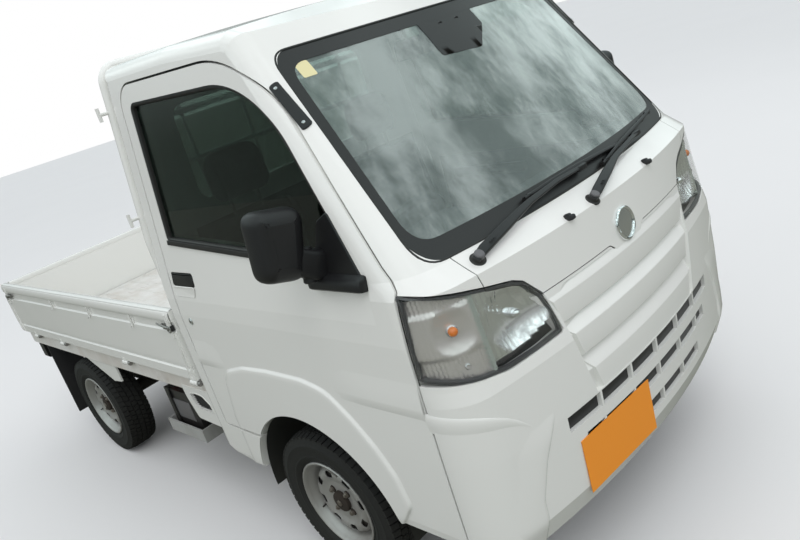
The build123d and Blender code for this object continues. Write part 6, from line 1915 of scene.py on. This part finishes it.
@dataclass
class Seats:
    """Two seats: a hard base, and a crowned cushion, back and head pad on each."""

    shop: Workshop
    middle: float = 345.0
    # Hard base and back board. Each row: X, Z, length, width, height, edge radius, lean in degrees.
    boards: tuple[Row, ...] = ((625, 668, 480, 440, 44, 12.0, 0.0), (390, 880, 42, 420, 400, 14.0, -3.0))
    # Posts of the head pad: X and Z of their ends, and their distances from the seat's middle.
    post: tuple[Row, Row] = ((404, 1150), (402, 1260))
    posts: Row = (-60.0, 60.0)
    # Pads. Each row: name, X and Z of the middle, lean in degrees, half width, half length, half thickness, cap.
    pads: tuple[tuple, ...] = (
        ("squab", 712.0, 724.0, 0.0, 214.0, 170.0, 32.0, 14.0),
        ("back", 453.0, 985.0, 82.0, 212.0, 196.0, 34.0, 14.0),
        ("head", 410.0, 1312.0, 84.0, 128.0, 92.0, 26.0, 8.0),
    )
    # Section of a pad's edge. Each row: inset, share of the half thickness.
    section: tuple[Row, ...] = (
        (70, -1), (24, -0.96), (6, -0.7), (0, -0.25), (0, 0.25), (6, 0.7), (24, 0.92), (70, 1),
    )
    # Cloth: steps of the simulation, size of its mesh in metres, and pressure from within.
    frames: int = 20
    mesh_size: float = 0.011
    pressure: float = 4.0
    # Sewn channels: place as a share of the pad's half size, and depth; along the pad, and then across it.
    channels: tuple[Row, Row] = ((0.66, 5.0), (0.35, 4.0))
    channel_width: float = 7.0

    def build(self) -> None:
        """Makes the bases with the posts of the head pads, and the pads."""
        shape = Shape()
        for side in (-1, 1):
            y = side * self.middle
            for x, z, *size, edge, lean in self.boards:
                shape.block((x, y, z), size, edge, Matrix.Rotation(math.radians(lean), 4, "Y"))
            for shift in self.posts:
                shape.tube([(x, y + shift, z) for x, z in self.post], ring(6, 12), mark=1)
        self.shop.place("seat_bases", shape, (SOFT_BLACK, DULL_STEEL), "truck", Slot.BLACK, ("seats",))
        for name, side in SIDES:
            for pad, x, z, *rest in self.pads:
                self._pad(f"seat_{pad}_{name}", Vector((x, side * self.middle, z)), *rest)

    def _pad(self, name: str, spot: Vector, lean: float, wide: float, long: float, thick: float, cap: float) -> None:
        """Makes one pad, lets it swell and sews its channels.

        Args:
            name: its name.
            spot: its middle.
            lean: turn of its length from level, in degrees.
            wide: half its width.
            long: half its length.
            thick: half its thickness.
            cap: how far its cloth may move.
        """
        turn, way = math.radians(lean), 1 if lean < 45 else -1
        ahead = Vector((way * math.cos(turn), 0, math.sin(turn)))
        out_way = Vector((-way * ahead.z, 0, way * ahead.x))
        corners = ((-wide, -long, 60), (wide, -long, 60), (wide * 0.94, long, 70), (-wide * 0.94, long, 70))
        shape = Shape().slab(rounded_loop(corners, steps=6, pitch=24.0),
                             lambda u, v, out: spot + Vector((0, u, 0)) + ahead * v + out_way * out,
                             [(inset, thick * share) for inset, share in self.section], pitch=26.0)
        piece = self.shop.place(name, shape, SEAT_CLOTH, "truck", Slot.SEAT)
        self._swell(piece, cap)
        self._sew(piece, spot, ahead, out_way, wide, long)

    def _swell(self, piece: bpy.types.Object, cap: float) -> None:
        """Blows the pad up as sewn cloth and keeps the result."""
        scene = bpy.context.scene
        mesher = piece.modifiers.new("mesher", "REMESH")
        mesher.mode = "VOXEL"
        mesher.voxel_size = self.mesh_size
        self._apply(piece)
        rest = [point.co.copy() for point in piece.data.vertices]
        cloth = piece.modifiers.new("cloth", "CLOTH")
        cloth.settings.use_pressure = True
        cloth.settings.uniform_pressure_force = self.pressure
        cloth.settings.effector_weights.gravity = 0.0
        for frame in range(1, self.frames + 1):
            scene.frame_set(frame)
        self._apply(piece)
        scene.frame_set(1)
        for point, start in zip(piece.data.vertices, rest):
            step = point.co - start
            if step.length > cap * MM:
                point.co = start + step.normalized() * cap * MM
        piece.modifiers.new("smoother", "SUBSURF").levels = 1
        self._apply(piece)
        for face in piece.data.polygons:
            face.use_smooth = True

    @staticmethod
    def _apply(piece: bpy.types.Object) -> None:
        """Keeps what the modifiers make of the mesh."""
        made = bpy.data.meshes.new_from_object(piece.evaluated_get(bpy.context.evaluated_depsgraph_get()))
        old = piece.data
        name = old.name
        piece.modifiers.clear()
        piece.data = made
        bpy.data.meshes.remove(old)
        made.name = name

    def _sew(self, piece: bpy.types.Object, spot: Vector, ahead: Vector, out_way: Vector, wide: float,
             long: float) -> None:
        """Draws in the sewn channels.

        Args:
            piece: the pad.
            spot: its middle.
            ahead: the direction of its length.
            out_way: the direction that it faces.
            wide: half its width.
            long: half its length.
        """
        (side_share, side_depth), (cross_share, cross_depth) = self.channels
        for point in piece.data.vertices:
            place = point.co / MM - spot
            across, along, out = place.y, place.dot(ahead), place.dot(out_way)
            if out < 0:
                continue
            deep = 0.0
            for line in (-side_share * wide, side_share * wide):
                deep = max(deep, side_depth * math.exp(-(((across - line) / self.channel_width) ** 2)))
            for line in (-cross_share * long, cross_share * long):
                if abs(across) < side_share * wide:
                    deep = max(deep, cross_depth * math.exp(-(((along - line) / self.channel_width) ** 2)))
            point.co -= out_way * deep * MM


@dataclass
class Cabin:
    """What lines the cab: headliner, rear wall, door cards, sun visors, dashboard fittings and steering wheel."""

    shop: Workshop
    # Headliner, 12 mm lower at its sides. Each row: X, Z.
    roof: tuple[Row, ...] = ((404, 1668), (500, 1700), (700, 1716), (850, 1712), (950, 1690), (1000, 1672))
    roof_half: float = 565.0
    # Rear wall's cover: X, half width, and its heights.
    wall: Row = (404.0, 570.0)
    wall_rows: Row = (650.0, 900.0, 1180.0)
    # Sun visors: middle, half length, half height.
    visor: Row = (985.0, 300.0, 1640.0)
    visor_half: Row = (190.0, 70.0)
    # Door card, and its arm rest and pocket. Each row: X, Z, corner radius; for the rest its low and high corner.
    card_y: float = 672.0
    card: tuple[Row, ...] = (
        (430, 560, 30), (900, 560, 60), (1180, 700, 60), (1370, 760, 40), (1375, 1000, 40), (1150, 1110, 20),
        (430, 1150, 20),
    )
    arm_rest: tuple[Row, Row] = ((520, 930), (900, 975))
    pocket: tuple[Row, ...] = ((560, 600, 20), (880, 600, 20), (900, 720, 20), (540, 720, 20))
    # Hood over the dials: its section as Y and rise, and the share of it at rows of X.
    hood: tuple[Row, ...] = ((-480, 0), (-470, 38), (-440, 56), (-345, 66), (-250, 56), (-220, 38), (-210, 0))
    hood_rows: tuple[Row, ...] = ((1262, 0.0), (1256, 0.8), (1262, 0.95), (1300, 1.0), (1400, 0.75), (1450, 0.2))
    hood_level: float = 1052.0
    # Vents in the dashboard: Y of each, and Z of their slats.
    vents: Row = (-560.0, -95.0, 95.0, 560.0)
    slats: Row = (957.0, 969.0, 981.0, 993.0)
    knobs: Row = (-55.0, 0.0, 55.0)
    # Steering wheel: its hub, lean in degrees, radius of its rim, and radii of the grip across and along the column.
    hub: Row = (1135.0, -345.0, 1020.0)
    lean: float = 38.0
    rim: float = 180.0
    grip: Row = (12.6, 12.4)
    # Angles of the spokes, in degrees.
    spokes: Row = (0.0, 180.0, 270.0)
    # Steering column. Each row: radius, distance along it.
    column: tuple[Row, ...] = ((30, -4), (28, -40), (22, -80), (20, -300), (0, -300))

    def build(self) -> None:
        """Makes every piece."""
        self._liners()
        self._door_cards()
        self._dashboard()
        self._steering()

    def _liners(self) -> None:
        """Makes the headliner, the rear wall's cover and the visors."""
        shape = Shape()
        shape.grid([[(x, y * (620 - (x - 410) * 0.02) / 620, z - 12 * (abs(y) / 600) ** 4)
                     for y in span(-self.roof_half, self.roof_half, 20)] for x, z in self.roof])
        back, half = self.wall
        shape.grid([[(back, y, z) for y in span(-half, half, 12)] for z in self.wall_rows])
        long, tall = self.visor_half
        loop = box_loop((-long, -tall), (long, tall), 24, pitch=30.0)
        x, y, z = self.visor
        for side in (-1, 1):
            shape.slab(loop, lambda u, v, out, y=side * y: Vector((x + v * 0.8, y + u, z - v * 0.42 - out)),
                       ((8, -7), (0, -3), (0, 3), (8, 7)), 1)
        self.shop.place("cab_liners", shape, (LINER, GREY_TRIM), "truck", Slot.BLACK, closed=False)

    def _door_cards(self) -> None:
        """Makes the inner panel of each door with its arm rest and pocket."""
        shape = Shape()
        for loop, steps, mark in (
            (rounded_loop(self.card, pitch=40.0), ((0, -4), (0, 2), (6, 6)), 0),
            (box_loop(*self.arm_rest, 20, pitch=30.0), ((0, 4), (0, 30), (8, 38)), 1),
            (rounded_loop(self.pocket, pitch=30.0), ((0, 4), (0, 14), (7, 20)), 1),
        ):
            shape.slab(loop, lambda x, z, out: Vector((x, self.card_y - out, z)), steps, mark)
        self.shop.pair("door_card", shape, (GREY_TRIM, SOFT_BLACK), "door_", Slot.BLACK)

    def _dashboard(self) -> None:
        """Makes the dashboard's vents, centre panel, knobs, hood over the dials and glove box lid."""
        shape = Shape()
        shape.grid([[(x, y, self.hood_level + rise * share) for y, rise in self.hood] for x, share in self.hood_rows])
        for y in self.vents:
            shape.block((1238, y, 975), (26, 92, 58), 8.0, None, 1)
            for z in self.slats:
                shape.block((1224, y, z), (8, 78, 3), 1.0, None, 0)
        shape.block((1240, 0, 880), (30, 190, 110), 8.0, None, 1)
        for y in self.knobs:
            shape.lathe(((0, 16), (15, 16), (18, 13), (19, 0)), (1222, y, 858), (-1, 0, 0), 24, 0)
        lid = box_loop((240, 800), (540, 905), 14, steps=4, pitch=40.0)
        shape.slab([(-u, z) for u, z in lid][::-1], lambda u, z, out: Vector((1250 - out, -u, z)),
                   ((0, -6), (0, 6), (4, 9)), 0)
        self.shop.place("dashboard_fittings", shape, (GREY_TRIM, SOFT_BLACK), "truck", Slot.BLACK, closed=False)

    def _steering(self) -> None:
        """Makes the steering wheel's rim, spokes, boss and column."""
        lean = math.radians(self.lean)
        origin = Vector(self.hub)
        axis = Vector((-math.cos(lean), 0, math.sin(lean)))
        up = Vector((math.sin(lean), 0, math.cos(lean)))
        across = Vector((0, 1, 0))
        rays = [across * x + up * y for x, y in ring(1.0, 64)]
        wide, deep = self.grip
        # Every other corner of the grip stands 0.4 mm out.
        section = [((wide + 0.4 * (k % 2)) * x, deep * y) for k, (x, y) in enumerate(ring(1.0, 14))]
        shape = Shape().tube([origin + ray * self.rim for ray in rays], section, rays, closed=True)
        for turn in self.spokes:
            spin = math.radians(turn)
            ray = across * math.cos(spin) + up * math.sin(spin)
            foot, tip = origin + ray * 40, origin + ray * 172
            shape.tube((foot, foot.lerp(tip, 0.4) - axis * 3, tip), ((-19, -5), (19, -5), (17, 5), (-17, 5)), axis)
        boss = rounded_loop(((-58, -50, 28), (58, -50, 28), (70, 42, 24), (-70, 42, 24)), steps=5, pitch=20.0)
        shape.slab(boss, lambda u, v, out: origin + across * u + up * v + axis * out,
                   ((6, -16), (0, -8), (0, 4), (8, 12), (26, 16)), 1)
        shape.lathe(self.column, origin, axis, 24, 1)
        self.shop.place("steering_wheel_detail", shape, (SMOOTH_BLACK, BLACK_TRIM), "steering_wheel", Slot.BLACK,
                        ("steering_wheel",))


@dataclass
class Underside:
    """Battery terminals and label, rear lamp faces, and the ribs of the bed and gates."""

    shop: Workshop
    # Rear lamp's face: its low and high corner, X of its back, and Y of the bars on it.
    lamp: tuple[Row, Row] = ((436, 474), (684, 556))
    lamp_x: float = -1674.0
    lamp_bars: Row = (518.0, 602.0)
    # Ribs of the bed: X of their ends, half width, floor height, and how many from side to side.
    ribs: Row = (-1636.0, 222.0, 15.0, 652.0)
    rib_reach: float = 616.0
    rib_count: int = 15
    # Folds inside the side gates: X of their ends and Y, and the top and height of each.
    folds: Row = (-1600.0, 210.0, 707.0)
    fold_rows: tuple[Row, ...] = ((862, 16), (742, 12))

    def build(self) -> None:
        """Makes the pieces."""
        self._battery()
        self._lamps()
        self._ribs()

    def _battery(self) -> None:
        """Makes the battery's terminal caps, label, hose and clamp."""
        shape = Shape()
        for x, mark in ((-205, 0), (-35, 1)):
            shape.block((x, -630, 508), (34, 34, 20), 5.0, None, mark)
        shape.block((-120, -670, 400), (150, 2.4, 90), 1.0, None, 2)
        shape.tube(((-190, -668, 500), (-190, -674, 470), (-190, -674, 330)), ring(5, 10), (1, 0, 0), mark=1)
        shape.block((-120, -612, 509), (250, 16, 6), 2.0, None, 1)
        self.shop.place("battery_fittings", shape, (RED_CAP, SOFT_BLACK, GREY_TRIM), "truck", Slot.BLACK)

    def _lamps(self) -> None:
        """Makes the rear lamps' faces, each with two bars."""
        loop = box_loop(*self.lamp, 6, steps=4, pitch=20.0)
        shape = Shape().slab([(-y, z) for y, z in loop][::-1], lambda u, z, out: Vector((self.lamp_x - out, -u, z)),
                             ((0, -6), (0, 3), (3, 5)))
        for y in self.lamp_bars:
            shape.block((self.lamp_x - 3, y, 515), (7, 4, 80), 1.2, None, 1)
        self.shop.place("rear_lamp_faces", shape.mirrored(), (RED_LENS, SMOOTH_BLACK), "truck", Slot.RED_LAMP)

    def _ribs(self) -> None:
        """Makes the bed's ribs and the folds inside the side gates."""
        shape = Shape()
        tail, front, half, level = self.ribs
        for y in span(-self.rib_reach, self.rib_reach, self.rib_count):
            shape.slab(((tail, y - half), (front, y - half), (front, y + half), (tail, y + half)),
                       lambda u, v, out: Vector((u, v, level + out)), ((0, -1), (7, 3.2)))
        self.shop.place("bed_ribs", shape, BED_PAINT, "truck", Slot.BODY)
        shape = Shape()
        tail, front, face = self.folds
        for z, high in self.fold_rows:
            shape.slab(((tail, z - high), (front, z - high), (front, z), (tail, z)),
                       lambda u, v, out: Vector((u, face - out, v)), ((0, -1), (4, 2.6)))
        self.shop.pair("gate_inner_folds", shape, BODY_PAINT, "side_gate_", Slot.BODY)


@dataclass
class Seams:
    """Dark seals in the gaps round the doors and the cover, and the raised cheeks beside the front plate."""

    shop: Workshop
    # Gaps, and how far the seals lie behind the skin in them.
    door_gap: float = 6.5
    cover_gap: float = 3.0
    door_depth: float = 6.5
    cover_depth: float = 2.6
    # Door outline. Each row: X, Z, corner radius.
    door: tuple[Row, ...] = (
        (1245, 335, 0), (1485, 335, 12), (1481, 831, 0), (1479, 1068, 12), (1440, 1122, 60), (1102, 1670, 400),
        (385, 1690, 75), (385, 487, 10), (605, 487, 0),
    )
    # Left half of the cover's outline, from the screen round to the middle. Each row: Y, Z, corner radius.
    cover: tuple[Row, ...] = (
        (566, 1095, 0), (563, 1063, 60), (551, 1005, 0), (475, 985, 0), (444, 972, 0), (396, 926, 0), (96, 926, 24),
        (58, 893, 34),
    )
    # Inner edge of a cheek. Each row: height, distance from the middle.
    edge: tuple[Row, ...] = ((292, 571), (423, 570), (524, 534), (587, 498), (640, 468))
    # Section of a cheek from its inner edge outwards. Each row: distance, distance out.
    cheek: tuple[Row, ...] = ((0, -0.6), (3, 1.6), (8, 4.0), (14, 4.6), (40, 4.0), (90, 1.8), (135, -0.6))
    # How far under the skin a cheek's edges end.
    dip: float = 0.6

    def build(self) -> None:
        """Makes the seals and the cheeks."""
        self._seals()
        self._cheeks()

    def _seals(self) -> None:
        """Makes the seals of the doors and of the cover."""
        loop = rounded_loop(self.door, steps=7, pitch=40.0)
        end = loop.index(self.door[-1][:2]) + 1
        path = inset_loop(loop, 0.48 * -self.door_gap)[:end]
        shape = Shape().tube([CAB.flank(x, z, -self.door_depth) for x, z in path], ring(1.3, 6), (0, 1, 0))
        self.shop.pair("door_seal", shape, RUBBER_TRIM, "door_", Slot.BLACK)
        outline = [*self.cover, *((-y, z, r) for y, z, r in reversed(self.cover))][::-1]
        loop = inset_loop(rounded_loop(outline, steps=5, pitch=25.0), -self.cover_gap / 2)
        shape = Shape().tube([CAB.front(y, z, -self.cover_depth) for y, z in loop], ring(1.2, 6), (1, 0, 0.2),
                             closed=True)
        self.shop.place("cover_seal", shape, RUBBER_TRIM, "truck", Slot.BLACK)

    def _cheeks(self) -> None:
        """Makes the raised cheeks, which fade out at their top."""
        rows = []
        foot, top = self.edge[0][0], self.edge[-1][0]
        for z in span(foot, top, 24):
            fade = min(1.0, (top - z) / 60)
            for (z0, y0), (z1, y1) in zip(self.edge, self.edge[1:]):
                if z <= z1:
                    break
            start = CAB.round_to(y0 + (y1 - y0) * (z - z0) / (z1 - z0), z)
            rows.append([CAB.at(start + reach, z, (out + self.dip) * fade - self.dip) for reach, out in self.cheek])
        self.shop.place("bumper_cheeks", Shape().grid(rows).mirrored(), BODY_PAINT, "truck", Slot.BODY, closed=False)


# Solids that keep their own shape, and the finish of each
NODE_FINISHES: dict[str, Coating | Glass | Cloth] = {
    "cab_shell": BODY_PAINT, "front_cover": BODY_PAINT, "front_bumper": BODY_PAINT, "rear_gate": BODY_PAINT,
    "guard_frame": BODY_PAINT, "splash_guards": BODY_PAINT, "bed_floor": BED_PAINT, "cab_glass": SCREEN_GLASS,
    "headlamps": LENS_CLEAR, "rear_lamps": SMOOTH_BLACK, "number_plates": PLATE_PAINT, "seats": SEAT_CLOTH,
    "dashboard": GREY_TRIM, "steering_wheel": BLACK_TRIM, "camera_pod": BLACK_TRIM, "wipers": SOFT_BLACK,
    "mud_flaps": BLACK_TRIM, "battery": SOFT_BLACK, "battery_tray": PALE_STEEL, "fuel_tank": DARK_STEEL,
    "exhaust": DULL_STEEL, "radiator": CAST_METAL, "engine_block": CAST_METAL,
    **dict.fromkeys(("cab_floor", "chassis_frame", "rear_axle", "leaf_springs", "front_suspension", "rear_bar"),
                    CHASSIS_PAINT),
    **{f"{node}_{side}": finish for side, _ in SIDES for node, finish in (
        ("door", BODY_PAINT), ("door_glass", WINDOW_GLASS), ("mirror", BLACK_TRIM), ("knuckle", CAST_METAL),
        ("side_gate", BODY_PAINT), ("rim_front", WHEEL_PAINT), ("rim_rear", WHEEL_PAINT), ("tyre_front", RUBBER),
        ("tyre_rear", RUBBER),
    )},
}


def dress_solids(frame: dict, finishes: Finishes) -> None:
    for name, solid in frame["nodes"].items():
        solid.data.materials.clear()
        solid.data.materials.append(finishes(NODE_FINISHES[name]))


def main() -> None:
    """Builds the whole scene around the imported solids."""
    logging.basicConfig(level=logging.INFO, format="%(message)s")
    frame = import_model()
    finishes = Finishes()
    Viewpoint().build()
    Studio().build()
    dress_solids(frame, finishes)
    shop = Workshop(finishes)
    for part in (Headlamps, Windscreen, FrontPanel, Flares, CornerPanels, Linings, Seats, Cabin, Underside, Seams,
                 Mirrors, Wipers, Badge, CameraPod, DoorTrim, Gates):
        part(shop).build()
    for name, axle, side in WHEELS:
        Wheel(shop, name, axle, side).build()


if __name__ == "__main__":
    main()
